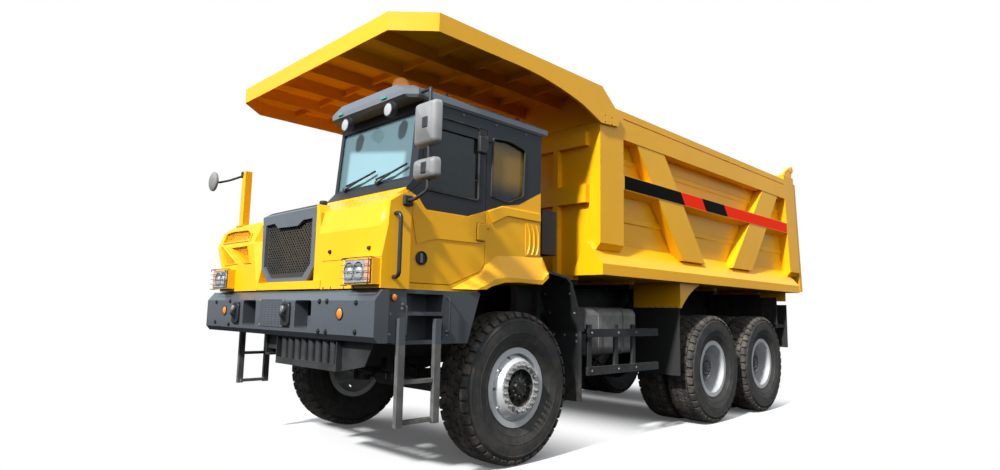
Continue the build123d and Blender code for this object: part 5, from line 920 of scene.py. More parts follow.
# ---- lamps: (along, radius) profiles from the face that carries them ---------------------
BUMPER_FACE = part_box("front_bumper")[0].y
NOSE_FRONT = -4.180
HEADLAMPS = ((1.180, 1.554, 1), (-1.402, -1.030, -1))      # (low x, high x, side)
HEADLAMP_Z = (1.547, 1.742)
LAMP_FACE = NOSE_FRONT - 0.073
AMBER_WIDTH = 0.085
LAMP_RIM = ((0.0, 0.074), (0.009, 0.070), (0.004, 0.050), (-0.001, 0.030), (-0.003, 0.074))
BULB = ((0.0, 0.034), (0.006, 0.028), (0.010, 0.012))
GUARD_OUT = 0.030           # the wire guard stands this far off the lamp
ROUND_LAMPS = ((-1.106, BUMPER_FACE, 1.326), (1.106, BUMPER_FACE, 1.326))
ROUND_RIM = ((-0.004, 0.048), (0.009, 0.048), (0.010, 0.043), (-0.004, 0.040))
ROUND_LENS = ((-0.004, 0.041), (0.006, 0.040), (0.013, 0.030), (0.016, 0.012))
TAIL_LAMPS_X = (-1.300, 1.300)
TAIL_LAMP_Y, TAIL_LAMP_Z = 3.5545, 1.370
TAIL_LAMP_HALF = (0.17, 0.065)
TAIL_LENS = (0.102, 0.053)  # width, half height
WORK_LAMPS = ((0.600, -3.963, 2.9963), (1.255, -3.963, 2.9963))
WORK_HOUSING = ((-0.066, 0.030), (-0.058, 0.050), (-0.020, 0.060), (0.004, 0.060),
                (0.006, 0.054))
WORK_LENS = ((0.001, 0.054), (0.0065, 0.050), (0.0105, 0.030), (0.012, 0.012))
# right half of the yoke round a work lamp, as (x, z) from its middle
WORK_YOKE = ((0.02, 0.074), (0.062, 0.035), (0.062, 0.0), (0.056, 0.0), (0.056, 0.032),
             (0.017, 0.068))
MARKERS_X, MARKER_HALF = (0.480, 1.155), 0.036
MARKER_Y, MARKER_Z = (-3.953, -3.9395), (3.111, 3.135)
BEACON = (0.895, -3.590, 3.204)
BEACON_BASE = ((0.0, 0.064), (0.006, 0.064), (0.010, 0.055), (0.100, 0.052), (0.118, 0.060),
               (0.122, 0.082), (0.148, 0.084), (0.150, 0.076))
BEACON_DOME = ((0.149, 0.078), (0.200, 0.077), (0.232, 0.066), (0.252, 0.044), (0.261, 0.018))


def headlamp(shape, x_low, x_high, side):
    """Twin reflectors and an outer amber strip, under a clear cover and a wire guard."""
    z_low, z_high = HEADLAMP_Z
    amber = x_high - AMBER_WIDTH if side > 0 else x_low + AMBER_WIDTH
    start, end = (x_low + 0.012, amber) if side > 0 else (amber, x_high - 0.012)
    strip = (amber + 0.004, x_high - 0.012) if side > 0 else (x_low + 0.012, amber - 0.004)

    def layer(finish, x_ends, inward, near, far, bevel):
        """Block across the lamp: its ends, its inset in height, its depth off the face."""
        shape.block(finish, (x_ends[0], LAMP_FACE - far, z_low + inward),
                    (x_ends[1], LAMP_FACE - near, z_high - inward), bevel)

    layer("black plastic", (x_low + 0.006, x_high - 0.006), 0.008, -0.002, 0.004, 0.001)
    layer("reflector", (start, end), 0.014, 0.003, 0.010, 0.003)
    for share in (0.27, 0.73):
        at = (start + (end - start) * share, LAMP_FACE - 0.009, (z_low + z_high) / 2)
        shape.ring("bright metal", LAMP_RIM, at, "Y", -1, 32)
        shape.lathe("clear lens", BULB, at, "Y", -1, 20)
    layer("amber lens", strip, 0.016, 0.003, 0.013, 0.004)
    layer("lamp cover", (x_low + 0.010, x_high - 0.010), 0.012, 0.0135, 0.016, 0.001)
    front = LAMP_FACE - GUARD_OUT
    corners = [(x, front, z) for x, z in (
        (x_low + 0.004, z_low - 0.004), (x_high - 0.004, z_low - 0.004),
        (x_high - 0.004, z_high + 0.004), (x_low + 0.004, z_high + 0.004))]
    shape.rod("chassis black", softened(corners + corners[:1], 0.02, 3)[:-1], 0.0036, 8)
    for share in (0.25, 0.5, 0.75):
        z = z_low + (z_high - z_low) * share
        shape.rod("worn steel", [(x_low, front, z), (x_high, front, z)], 0.0032, 8)
    for x, _, z in corners:
        shape.rod("chassis black", [(x, front, z), (x, LAMP_FACE + 0.02, z)], 0.0036, 8)


def tail_lamp(shape, x):
    """Flat housing with an amber, a red and a clear lens."""
    half, half_z = TAIL_LAMP_HALF
    width, lens_z = TAIL_LENS
    shape.block("black plastic", (x - half, TAIL_LAMP_Y, TAIL_LAMP_Z - half_z),
                (x + half, TAIL_LAMP_Y + 0.030, TAIL_LAMP_Z + half_z), 0.006)
    for count, glass in enumerate(("amber lens", "red lens", "clear lens")):
        start = x - half + 0.012 + count * (width + 0.004)
        shape.block(glass, (start, TAIL_LAMP_Y + 0.028, TAIL_LAMP_Z - lens_z),
                    (start + width, TAIL_LAMP_Y + 0.040, TAIL_LAMP_Z + lens_z), 0.004)


class FitLamps(bpy.types.Operator):
    """Headlamps with guards, bumper, work, marker and tail lamps, and the roof beacon."""
    bl_idname = "truck.fit_lamps"
    bl_label = "Fit the lamps"

    def execute(self, context):
        shape = Shape()
        for place in HEADLAMPS:
            headlamp(shape, *place)
        for at in ROUND_LAMPS:
            shape.ring("black plastic", ROUND_RIM, at, "Y", -1, 32)
            shape.lathe("amber lens", ROUND_LENS, at, "Y", -1, 28)
        for x in TAIL_LAMPS_X:
            tail_lamp(shape, x)
        for x, y, z in WORK_LAMPS:
            shape.lathe("black plastic", WORK_HOUSING, (x, y, z), "Y", -1, 32)
            shape.lathe("clear lens", WORK_LENS, (x, y, z), "Y", -1, 28)
            yoke = [(x + across, z + up) for across, up in WORK_YOKE]
            yoke += [(x - across, z + up) for across, up in reversed(WORK_YOKE)]
            shape.prism("chassis black", yoke, "Y", y + 0.020, y + 0.046)
        for x in MARKERS_X:
            shape.block("marker lens", (x - MARKER_HALF, MARKER_Y[0], MARKER_Z[0]),
                        (x + MARKER_HALF, MARKER_Y[1], MARKER_Z[1]), 0.004)
        shape.lathe("black plastic", BEACON_BASE, BEACON, "Z", 1, 36)
        shape.lathe("beacon lens", BEACON_DOME, BEACON, "Z", 1, 36)
        shape.done("lamp_set", "chassis", ("lamps",))
        return {"FINISHED"}


# ---- mirrors -----------------------------------------------------------------------------
BOW_X = 1.815
BOW_Y = -3.970
BOW_ROOT_X = 1.566          # outer end of the bow's bracket at the foot
BOW_ROOT_Z = 2.200
MIRROR_HEADS = ((1.660, 1.930, 2.590, 2.940), (1.660, 1.930, 2.330, 2.500))
# (distance behind the bow, inset) of a mirror housing's sections
HEAD_SECTIONS = ((0.032, 0.006), (0.026, 0.0), (-0.012, 0.004), (-0.034, 0.018),
                 (-0.046, 0.045))
POST_X = (-1.175, -1.085)
POST_Y = (-4.120, -4.050)
POST_TOP = 2.800
POST_CLAMPS_Z = (2.30, 2.44, 2.58, 2.70)
BOX_TOP = 2.204
CONDUIT_STEPS = 27          # clipped up the post, one point every 20 mm
ROUND_MIRROR = (-1.795, -4.190, 2.768)
ROUND_SHELL = ((0.020, 0.104), (0.014, 0.110), (-0.004, 0.108), (-0.016, 0.090),
               (-0.021, 0.050), (-0.023, 0.020))
ROUND_GLASS = ((0.0195, 0.100), (0.0225, 0.099), (0.0245, 0.060), (0.0250, 0.020))


def mirror_head(shape, x_low, x_high, z_low, z_high):
    """Rounded housing on the bow, with its glass and its clamp."""
    outline = rounded(x_low, x_high, z_low, z_high, 0.045)
    shape.loft("grey plastic", [[(x, BOW_Y + depth, z) for x, z in inset(outline, gap)]
                                for depth, gap in HEAD_SECTIONS])
    glass = rounded(x_low + 0.014, x_high - 0.014, z_low + 0.014, z_high - 0.014, 0.035)
    shape.prism("mirror glass", glass, "Y", BOW_Y + 0.030, BOW_Y + 0.0345)
    z_mid = (z_low + z_high) / 2
    shape.block("black plastic", (BOW_X - 0.035, BOW_Y - 0.052, z_mid - 0.045),
                (BOW_X + 0.035, BOW_Y - 0.014, z_mid + 0.045), 0.008)


class FitMirrors(bpy.types.Operator):
    """Mirror bow with two housings, and the post with its round mirror."""
    bl_idname = "truck.fit_mirrors"
    bl_label = "Fit the mirrors"

    def execute(self, context):
        shape = Shape()
        bow = [(1.5205, -3.825, 3.120), (1.600, -3.825, 3.120), (BOW_X, BOW_Y, 3.040),
               (BOW_X, BOW_Y, BOW_ROOT_Z + 0.050), (BOW_X - 0.155, BOW_Y, BOW_ROOT_Z),
               (BOW_ROOT_X, BOW_Y, BOW_ROOT_Z)]
        shape.rod("black plastic", softened(bow, 0.03), 0.014, 12)
        shape.block("black plastic", (BOW_ROOT_X, BOW_Y - 0.045, BOW_ROOT_Z - 0.040),
                    (BOW_ROOT_X + 0.030, BOW_Y + 0.045, BOW_ROOT_Z + 0.040), 0.008)
        for head in MIRROR_HEADS:
            mirror_head(shape, *head)
        (x_0, x_1), (y_0, y_1) = POST_X, POST_Y
        shape.prism("body yellow", [(x_0, y_0), (x_1, y_0), (x_1, y_1), (x_0, y_1)], "Z",
                    BOX_TOP, POST_TOP, 0.005)
        shape.block("body yellow", (x_0 - 0.03, y_0 - 0.02, BOX_TOP),
                    (x_1 + 0.03, y_1 + 0.02, BOX_TOP + 0.012), 0.002)
        for z in POST_CLAMPS_Z:
            shape.block("cast black", (x_0 - 0.030, y_1 - 0.006, z),
                        (x_0 + 0.004, y_1 + 0.034, z + 0.026), 0.003)
        shape.rod("flap rubber", [(x_0 - 0.014, y_1 + 0.016, BOX_TOP + 0.002 + 0.02 * step)
                                  for step in range(CONDUIT_STEPS)], 0.0135, 12)
        mirror_x, mirror_y, arm_z = ROUND_MIRROR
        arm_y = y_0 + 0.030
        arm = [(x_0 + 0.02, arm_y, arm_z), (mirror_x + 0.21, arm_y, arm_z),
               (mirror_x, arm_y - 0.030, arm_z), (mirror_x, mirror_y + 0.010, arm_z)]
        shape.rod("black plastic", softened(arm, 0.024), 0.012, 12)
        shape.block("cast black", (x_0 - 0.012, y_0 - 0.010, POST_TOP - 0.065),
                    (x_0 + 0.030, y_1 + 0.004, POST_TOP), 0.003)
        shape.lathe("grey plastic", ROUND_SHELL, ROUND_MIRROR, "Y", 1, 40)
        shape.lathe("mirror glass", ROUND_GLASS, ROUND_MIRROR, "Y", 1, 40)
        shape.done("mirror_set", "chassis", ("mirrors",))
        return {"FINISHED"}


# ---- cab fittings; outlines on its side are (y, z) ---------------------------------------
CAB_SIDE = 1.500
CAB_IN = 0.270
DOOR_GLASS = [(-3.707, 2.330), (-3.707, 2.897), (-3.592, 2.967), (-3.152, 2.967),
              (-3.152, 2.320)]
QUARTER = [(-3.000, 2.380), (-2.985, 2.915), (-2.770, 2.930), (-2.560, 2.885),
           (-2.575, 2.440), (-2.780, 2.355)]
SCREEN_X = (0.315, 1.405)
SCREEN_LOW = (-3.840, 2.425)
DOOR_HINGES = ((-3.074, 2.000), (-3.074, 2.780))
DOOR_HANDLE = (CAB_SIDE, -3.763, 1.775)
HANDLE_RIM = ((-0.002, 0.056), (0.012, 0.056), (0.014, 0.048), (0.004, 0.044),
              (-0.002, 0.044))
HANDLE_BED = ((-0.002, 0.045), (0.0015, 0.044), (0.002, 0.020))
DOOR_BAR = ((1.476, -3.700, 2.50), (1.466, -3.640, 2.50), (1.466, -3.220, 2.50),
            (1.476, -3.160, 2.50))
CAB_BROW = [(-3.045, 2.243), (-2.863, 2.312), (-2.333, 2.306), (-2.333, 2.223),
            (-2.797, 2.228), (-2.981, 2.140)]
LOUVRE_PANEL = [(-2.545, 2.207), (-2.333, 2.214), (-2.333, 1.893), (-2.541, 1.884)]
LOUVRE_RIB = [(-2.520, 2.190), (-2.484, 2.120), (-2.484, 1.960), (-2.515, 1.900)]
LOUVRE_PITCH = 0.062
BUFFER = ((0.0, 0.019), (0.004, 0.017), (0.016, 0.014), (0.020, 0.010))
BUFFERS_X, BUFFER_Z = (0.830, 1.400), 1.826
SHUT_LINE_X, SHUT_LINE_Z = (0.715, 1.5645), (1.7505, 1.7545)
FASCIA_BOLTS_Y, FASCIA_BOLT_Z = (-3.75, -3.35, -2.95, -2.55), 3.045
NOSE_BOLTS_X, NOSE_BOLT_Z = (0.745, 0.86, 1.06, 1.20), 1.5330
SCREEN_VISOR_Z, SCREEN_VISOR_Y = (2.845, 2.975), (0.085, 0.097)     # y behind the screen's foot
DOOR_VISOR = [(1.452, -3.52 + 0.037 * k, 2.852 - 0.0004 * (k - 5) ** 2) for k in range(11)]
FILLER_AT = (0.455, -4.055, 2.272)
FILLER_CAP = ((-0.03, 0.032), (0.012, 0.032), (0.016, 0.036), (0.032, 0.036), (0.038, 0.028))
WIPERS = ((0.470, 0.46), (0.980, 0.40))     # (x of the pivot, reach)
PIVOT = ((-0.03, 0.022), (0.008, 0.021), (0.014, 0.014))
EYE_BOLTS = ((1.455, -3.516), (1.455, -2.628), (0.330, -3.516), (0.330, -2.628))
EYE_FOOT_Z, EYE_Z = 3.142, 3.184
EYE_COLLAR = ((0.0, 0.020), (0.010, 0.020), (0.014, 0.012), (0.024, 0.010))


def wiper(shape, pivot_x, reach):
    """Wiper lying along the foot of the screen."""
    y, z = SCREEN_LOW
    root = (pivot_x, y - 0.020, z + 0.012)
    elbow = (pivot_x + reach * 0.55, y - 0.018, z + 0.075)
    shape.lathe("black plastic", PIVOT, root, "Y", -1, 18)
    shape.rod("black plastic", [root, elbow], 0.008, 8)
    shape.rod("flap rubber", [(elbow[0] - 0.24, elbow[1] + 0.004, elbow[2] - 0.030), elbow,
                              (pivot_x + reach, y - 0.006, z + 0.120)], 0.009, 8)


def door_hinge(shape, y, z):
    """Cover over a hinge of the door, with a dark gap round it."""
    span = (y - 0.098, y - 0.004, z - 0.030, z + 0.122)
    gap = (span[0] - 0.005, span[1] + 0.002, span[2] - 0.005, span[3] + 0.005)
    shape.prism("flap rubber", rounded(*gap, 0.018), "X", CAB_SIDE, CAB_SIDE + 0.010)
    shape.prism("body yellow" if z < DOOR_GLASS[0][1] else "black plastic",
                rounded(*span, 0.016), "X", CAB_SIDE + 0.001, CAB_SIDE + 0.026, 0.008)


class FitCab(bpy.types.Operator):
    """Seals, wipers, buffers, shut line and eye bolts of the cab and nose."""
    bl_idname = "truck.fit_cab"
    bl_label = "Fit the cab trim"

    def execute(self, context):
        bolt = context.scene.truck_sizes.frame_bolt
        shape = Shape()
        for x in (CAB_SIDE, CAB_IN):
            shape.loop("flap rubber", [(x, y, z) for y, z in QUARTER], 0.010, 0.025)
        # buffers and shut line of the nose, filler cap beside the grille
        for x in BUFFERS_X:
            shape.lathe("flap rubber", BUFFER, (x, NOSE_FRONT, BUFFER_Z), "Y", -1, 20)
        shape.block("flap rubber", (SHUT_LINE_X[0], NOSE_FRONT - 0.0012, SHUT_LINE_Z[0]),
                    (SHUT_LINE_X[1], NOSE_FRONT + 0.001, SHUT_LINE_Z[1]), 0.0004)
        shape.lathe("black plastic", FILLER_CAP, FILLER_AT, "Z", 1, 24)
        for place in WIPERS:
            wiper(shape, *place)
        # sun visor behind the top of the screen
        shape.prism("black plastic",
                    rounded(SCREEN_X[0] + 0.02, SCREEN_X[1] - 0.02, *SCREEN_VISOR_Z, 0.03),
                    "Y", *(SCREEN_LOW[0] + behind for behind in SCREEN_VISOR_Y), 0.003)
        # pressed brow and louvres of the side behind the door
        shape.prism("body yellow", CAB_BROW, "X", CAB_SIDE - 0.002, CAB_SIDE + 0.013, 0.006)
        shape.prism("body yellow", LOUVRE_PANEL, "X", CAB_SIDE - 0.002, CAB_SIDE + 0.004, 0.003)
        for step in range(3):
            rib = [(CAB_SIDE + 0.004, y + LOUVRE_PITCH * step, z) for y, z in LOUVRE_RIB]
            shape.rod("body yellow", softened(rib, 0.05), 0.008, 8)
        # lifting eyes on the roof
        for x, y in EYE_BOLTS:
            shape.lathe("cast black", EYE_COLLAR, (x, y, EYE_FOOT_Z), "Z", 1, 16)
            eye = around((x, y, EYE_Z), "X", 0.0, 0.018, 16)
            shape.rod("cast black", eye, 0.006, 8, closed=True)
        # bolts along the roof's fascia and the foot of the nose
        for y in FASCIA_BOLTS_Y:
            shape.bolt("worn steel", (CAB_SIDE + 0.0003, y, FASCIA_BOLT_Z), "X", 1,
                       bolt * 0.5, 0.007)
        for x in NOSE_BOLTS_X:
            shape.bolt("worn steel", (x, NOSE_FRONT, NOSE_BOLT_Z), "Y", -1, bolt * 0.45, 0.006)
        shape.done("cab_trim", "chassis")

        door = Shape()
        door.loop("flap rubber", [(CAB_SIDE - 0.002, y, z) for y, z in DOOR_GLASS], 0.011, 0.03)
        door.ring("black plastic", HANDLE_RIM, DOOR_HANDLE, "X", 1, 40)
        door.lathe("black plastic", HANDLE_BED, DOOR_HANDLE, "X", 1, 32)
        x, y, z = DOOR_HANDLE
        door.block("grey plastic", (x, y - 0.013, z - 0.040), (x + 0.011, y + 0.013, z + 0.040),
                   0.004)
        # grab bar across the window and the visor over it
        door.rod("black plastic", softened(DOOR_BAR, 0.03), 0.009)
        door.rod("cast black", DOOR_VISOR, 0.012, 8)
        for place in DOOR_HINGES:
            door_hinge(door, *place)
        door.done("door_trim", "cab_door")
        return {"FINISHED"}


# ---- mesh windows of the right-hand box, as (x, z) outlines ------------------------------
BOX_WINDOWS = ([(-1.400, 2.043), (-0.756, 2.038), (-0.744, 2.096), (-0.857, 2.141),
                (-1.224, 2.151), (-1.374, 2.138)],
               [(-1.421, 1.995), (-1.389, 1.995), (-0.996, 1.805), (-1.293, 1.805)],
               [(-1.158, 1.971), (-0.766, 1.971), (-0.680, 1.809), (-0.815, 1.809)])
WINDOW_LIP = 0.014
BOX_BACK = (0.082, 0.086)   # depth of the box's inner wall behind its front
MESH_STEPS = 40             # lines of mesh tried on each side of a window's middle
MESH_SLOPES = (0.5, -0.5)
MESH_WIRE = 0.0018          # radius of a wire
MESH_BEHIND = 0.014         # the mesh lies this far behind the face
MESH_SHORTEST = 0.004
NOSE_BEND_Z = 1.987         # the front face leans back above this
NOSE_BEND_RISE, NOSE_BEND_RUN = 0.195, 0.045


def lean_y(z):
    """Front face of the nose and the right-hand box at a height."""
    return NOSE_FRONT + max(0.0, min(1.0, (z - NOSE_BEND_Z) / NOSE_BEND_RISE)) * NOSE_BEND_RUN


def clipped(outline, start, way):
    """Part of a line inside an outline, as a pair of distances along it."""
    hits = []
    for a, b in zip(outline, outline[1:] + outline[:1]):
        side_a = (a[0] - start[0]) * way[1] - (a[1] - start[1]) * way[0]
        side_b = (b[0] - start[0]) * way[1] - (b[1] - start[1]) * way[0]
        if (side_a > 0) != (side_b > 0):
            share = side_a / (side_a - side_b)
            hit = (a[0] + (b[0] - a[0]) * share, a[1] + (b[1] - a[1]) * share)
            hits.append((hit[0] - start[0]) * way[0] + (hit[1] - start[1]) * way[1])
    return (min(hits), max(hits)) if len(hits) > 1 else None


def window_lip(shape, outline):
    """Raised lip round a window."""
    outer = inset(outline, -WINDOW_LIP)
    sections = ((0.0, outer), (0.008, outer), (0.010, inset(outer, 0.003)),
                (0.010, inset(outline, -0.001)), (-0.020, inset(outline, 0.002)))
    shape.loft("body yellow", [[(x, lean_y(z) - proud, z) for x, z in run]
                               for proud, run in sections], capped=False)


def window_mesh(shape, outline, pitch):
    """Two crossing sets of wires, clipped to a window."""
    mid_x = sum(x for x, _ in outline) / len(outline)
    mid_z = sum(z for _, z in outline) / len(outline)
    for slope in MESH_SLOPES:
        way = Vector((1.0, slope)).normalized()
        for step in range(-MESH_STEPS, MESH_STEPS + 1):
            start = (mid_x - way.y * step * pitch, mid_z + way.x * step * pitch)
            span = clipped(outline, start, way)
            if span and span[1] - span[0] > MESH_SHORTEST:
                ends = [(start[0] + way.x * s, start[1] + way.y * s) for s in span]
                shape.rod("body yellow", [(x, lean_y(z) + MESH_BEHIND + 0.002 * slope, z)
                                          for x, z in ends], MESH_WIRE, 4)


class FitWindows(bpy.types.Operator):
    """Framed expanded-metal windows in the right-hand box."""
    bl_idname = "truck.fit_windows"
    bl_label = "Fit the mesh windows"

    def execute(self, context):
        shape = Shape()
        for outline in BOX_WINDOWS:
            window_lip(shape, outline)
            window_mesh(shape, outline, context.scene.truck_sizes.mesh_pitch)
            shape.prism("deep shade", outline, "Y",
                        *(NOSE_FRONT + depth for depth in BOX_BACK))
        shape.done("box_windows", "chassis")
        return {"FINISHED"}


# ---- bumper, steps and chassis fittings --------------------------------------------------
STEP_SIDE = 1.550
# places on the bumper's face, as (x, z)
BUMPER_BOLTS = ((-1.330, 1.410), (-1.330, 1.205), (-0.985, 1.420), (-0.985, 1.190),
                (0.790, 1.420), (0.905, 1.420), (1.330, 1.410), (0.790, 1.180),
                (0.905, 1.180), (1.330, 1.190))
PLATE_X = (-0.300, 0.190)
PLATE_Z = (1.190, 1.440)
PLATE_COLUMNS, PLATE_ROWS = 7, 12
TREAD_BAR = ((-0.024, -0.0035), (0.018, -0.0035), (0.024, 0.0035), (-0.018, 0.0035))
HOOK_INSET = 0.055          # of a tow eye's middle from the end of the pair
TOW_PAD_X, TOW_PAD_Z = (-0.085, 0.062), (1.205, 1.405)
TOW_PIN_Z, TOW_BUFFER_Z = 1.355, 1.255
TOW_PIN = ((0.020, 0.027), (0.034, 0.027), (0.038, 0.022))
TOW_BUFFER = ((0.020, 0.020), (0.0245, 0.020))
MUD_PANEL_X = (0.431, 1.600)
MUD_PANEL_Z = (1.240, 1.665)
MUD_PANEL_Y = 3.162         # where the rubber meets its clamp
# places on the step boxes' side, as (y, z)
SIDE_LAMP = (-4.045, 1.455)
SIDE_LENS = ((-0.002, 0.026), (0.010, 0.025), (0.015, 0.017))
SIDE_RIM = ((-0.002, 0.032), (0.007, 0.031), (0.008, 0.025), (-0.002, 0.025))
STEP_BOLTS = ((-3.965, 1.405), (-3.965, 1.375), (-3.965, 1.170), (-3.965, 1.140),
              (-3.520, 1.200), (-3.520, 1.170), (-4.075, 1.330), (-4.075, 1.180))
STEP_GRIPS = ((-3.945, 1.155, 1.400), (-3.520, 1.185, 1.470))       # (y, low z, high z)
GRIP_OUT = 0.036
FLAP_BOLTS = ((1.145, 1.140), (1.290, 1.140), (1.440, 1.140), (1.145, 1.080), (1.440, 1.080))
FLAP_BOLT_Y = AXLE_Y + 0.905
MUDGUARD_TOP = (AXLE_Y + 0.700, 1.650)      # of its rear slope, as (y, z)
MUDGUARD_FALL = (0.0, 0.205, -0.470)
MUDGUARD_BOLTS = ((1.160, 0.1), (1.160, 0.31), (1.480, 0.1), (1.480, 0.31))   # (x, way down)
SPRING_X = 0.385
CLIPS_Y, U_BOLTS_Y = 0.330, 0.085           # ahead of and behind the axle
U_BOLT_Z = (0.600, 0.800)
GUARD_SIDE = 1.520
GUARD_BOLTS = [(y, z) for y in (-1.520, -1.040, -0.700) for z in (0.778, 1.163)]
DRIERS = ((1.130, 0.062, 1.430), (1.265, 0.045, 1.385))     # (x, radius, top)
DRIER_Y, DRIER_Z = -1.509, 1.210
CARRIER_X, CARRIER_Y = (1.060, 1.330), (-1.548, -1.470)


def bumper_trim(shape, bolt):
    """Bumper bolts, tow pins and the tread plate between the tow eyes."""
    for x, z in BUMPER_BOLTS:
        shape.bolt("cast black", (x, BUMPER_FACE, z), "Y", -1, bolt, 0.012)
    shape.block("slate", (PLATE_X[0], BUMPER_FACE - 0.004, PLATE_Z[0]),
                (PLATE_X[1], BUMPER_FACE + 0.001, PLATE_Z[1]), 0.0015)
    hooks_low, hooks_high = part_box("tow_hooks")
    for x in (hooks_low.x + HOOK_INSET, hooks_high.x - HOOK_INSET):
        pad = rounded(x + TOW_PAD_X[0], x + TOW_PAD_X[1], *TOW_PAD_Z, 0.035)
        shape.prism("cast black", pad, "Y", BUMPER_FACE - 0.023, BUMPER_FACE - 0.0005, 0.005)
        shape.lathe("worn steel", TOW_PIN, (x - 0.046, BUMPER_FACE, TOW_PIN_Z), "Y", -1, 24)
        shape.lathe("flap rubber", TOW_BUFFER, (x - 0.046, BUMPER_FACE, TOW_BUFFER_Z), "Y",
                    -1, 20)
    for column in range(PLATE_COLUMNS):
        for row in range(PLATE_ROWS):
            x = PLATE_X[0] + (column + 0.5) * (PLATE_X[1] - PLATE_X[0]) / PLATE_COLUMNS
            z = PLATE_Z[0] + (row + 0.5) * (PLATE_Z[1] - PLATE_Z[0]) / PLATE_ROWS
            shape.prism("slate", [(x + across, z + up) for across, up in TREAD_BAR], "Y",
                        BUMPER_FACE - 0.0075, BUMPER_FACE - 0.0035, 0.001)
    for z in (PLATE_Z[0] + 0.015, PLATE_Z[1] - 0.015):
        for x in (PLATE_X[0] + 0.02, PLATE_X[1] - 0.02):
            shape.bolt("worn steel", (x, BUMPER_FACE - 0.0045, z), "Y", -1, bolt * 0.6, 0.007)


def step_trim(shape, side, bolt):
    """Side lamp, bolts and grab bars of a step box."""
    face = side * STEP_SIDE
    shape.lathe("amber lens", SIDE_LENS, (face, *SIDE_LAMP), "X", side, 24)
    shape.ring("black plastic", SIDE_RIM, (face, *SIDE_LAMP), "X", side, 24)
    for y, z in STEP_BOLTS:
        shape.bolt("worn steel", (face, y, z), "X", side, bolt * 0.55, 0.008)
    out = face + side * GRIP_OUT
    for y, z_low, z_high in STEP_GRIPS:
        grip = [(face, y, z_low), (out, y, z_low + 0.012), (out, y, z_high - 0.012),
                (face, y, z_high)]
        shape.rod("chassis black", softened(grip, 0.018), 0.008, 10)


def flap_trim(shape, side, bolt):
    """Bolts of the mudguard and flap behind a steered wheel."""
    for x, z in FLAP_BOLTS:
        shape.bolt("worn steel", (side * x, FLAP_BOLT_Y, z), "Y", -1, bolt * 0.6, 0.008)
    slope = Vector(MUDGUARD_FALL).normalized()
    for x, down in MUDGUARD_BOLTS:
        at = Vector((side * x, *MUDGUARD_TOP)) + slope * down
        shape.bolt("worn steel", at, "Y", -1, bolt * 0.6, 0.010)


def spring_trim(shape, side):
    """Clips and U-bolts round a front leaf pack."""
    x = side * SPRING_X
    for y in (AXLE_Y - CLIPS_Y, AXLE_Y + CLIPS_Y):
        shape.block("cast black", (x - 0.053, y - 0.020, TYRE_RADIUS - 0.015),
                    (x + 0.053, y + 0.020, TYRE_RADIUS + 0.150), 0.004)
    low, high = U_BOLT_Z
    for y in (AXLE_Y - U_BOLTS_Y, AXLE_Y + U_BOLTS_Y):
        u_bolt = [(x - 0.056, y, low), (x - 0.056, y, high), (x + 0.056, y, high),
                  (x + 0.056, y, low)]
        shape.rod("worn steel", softened(u_bolt, 0.03), 0.011, 8)


class FitChassis(bpy.types.Operator):
    """Bumper bolts and tread plate, step grips, side lamps, clamps and chassis bolts."""
    bl_idname = "truck.fit_chassis"
    bl_label = "Fit the chassis trim"

    def execute(self, context):
        bolt = context.scene.truck_sizes.frame_bolt
        shape = Shape()
        bumper_trim(shape, bolt)
        for side in (-1, 1):
            # inner mud panel behind the last wheels, hung on the frame
            low, high = sorted(side * x for x in MUD_PANEL_X)
            shape.block("flap rubber", (low, MUD_PANEL_Y - 0.012, MUD_PANEL_Z[0]),
                        (high, MUD_PANEL_Y, MUD_PANEL_Z[1]), 0.002)
            shape.block("chassis black", (low, MUD_PANEL_Y, MUD_PANEL_Z[0]),
                        (high, MUD_PANEL_Y + 0.024, MUD_PANEL_Z[0] + 0.040), 0.003)
            step_trim(shape, side, bolt)
            flap_trim(shape, side, bolt)
            spring_trim(shape, side)
            for y, z in GUARD_BOLTS:
                shape.bolt("worn steel", (side * GUARD_SIDE, y, z), "X", side, bolt * 0.6, 0.008)
        # air drier and valve on the front carrier of the left guard
        shape.block("cast black", (CARRIER_X[0], CARRIER_Y[0], DRIER_Z - 0.0095),
                    (CARRIER_X[1], CARRIER_Y[1], DRIER_Z + 0.0005), 0.002)
        for x, radius, top in DRIERS:
            tall = top - DRIER_Z
            profile = ((0.0, radius * 0.7), (0.012, radius), (0.110, radius),
                       (0.118, radius * 0.86), (tall - 0.02, radius * 0.84), (tall, radius * 0.5))
            shape.lathe("bright metal", profile, (x, DRIER_Y, DRIER_Z), "Z", 1, 28)
        shape.done("chassis_trim", "chassis")
        return {"FINISHED"}


# ---- tipping body: stripes, casings, bracket bolts ---------------------------------------
BODY_SIDE = 1.618
BELT_Z = (2.732, 2.884)
# pressed casings over the slanted stiffeners: (y, z) outlines
CASINGS = ([(0.210, 2.030), (0.800, 2.030), (-0.190, 3.290), (-0.800, 3.290)],
           [(1.600, 2.030), (2.260, 2.030), (3.310, 3.290), (2.700, 3.290)])
CASING_X = (1.484, 1.6132)
# bands on the belt: (start y, end y, lean of the start, lean of the end, finish)
STRIPES = ((-1.060, 0.180, 0.0, 0.110, "stripe black"), (0.180, 0.735, 0.110, 0.110, "stripe red"),
           (0.735, 1.375, 0.110, 0.110, "stripe black"), (1.375, 3.640, 0.110, 0.0, "stripe red"))
FLAP_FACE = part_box("body_flaps")[0].y
# bolts of the mud brackets, the flaps and the underframe: (finish, x of the first and the
# next, count, y, z)
BOLT_ROWS = (("body yellow", 0.985, 1.080, 7, FLAP_FACE + 0.014, 1.500),
             ("worn steel", 0.985, 1.080, 7, FLAP_FACE, 1.462),
             ("body yellow", 1.055, 1.153, 6, AXLE_Y + 6.100, 1.650))
CHEEK_X = 1.6215
CHEEK_BOLTS = ((-1.457, 3.397), (-1.457, 3.467), (-1.337, 3.397), (-1.337, 3.467))


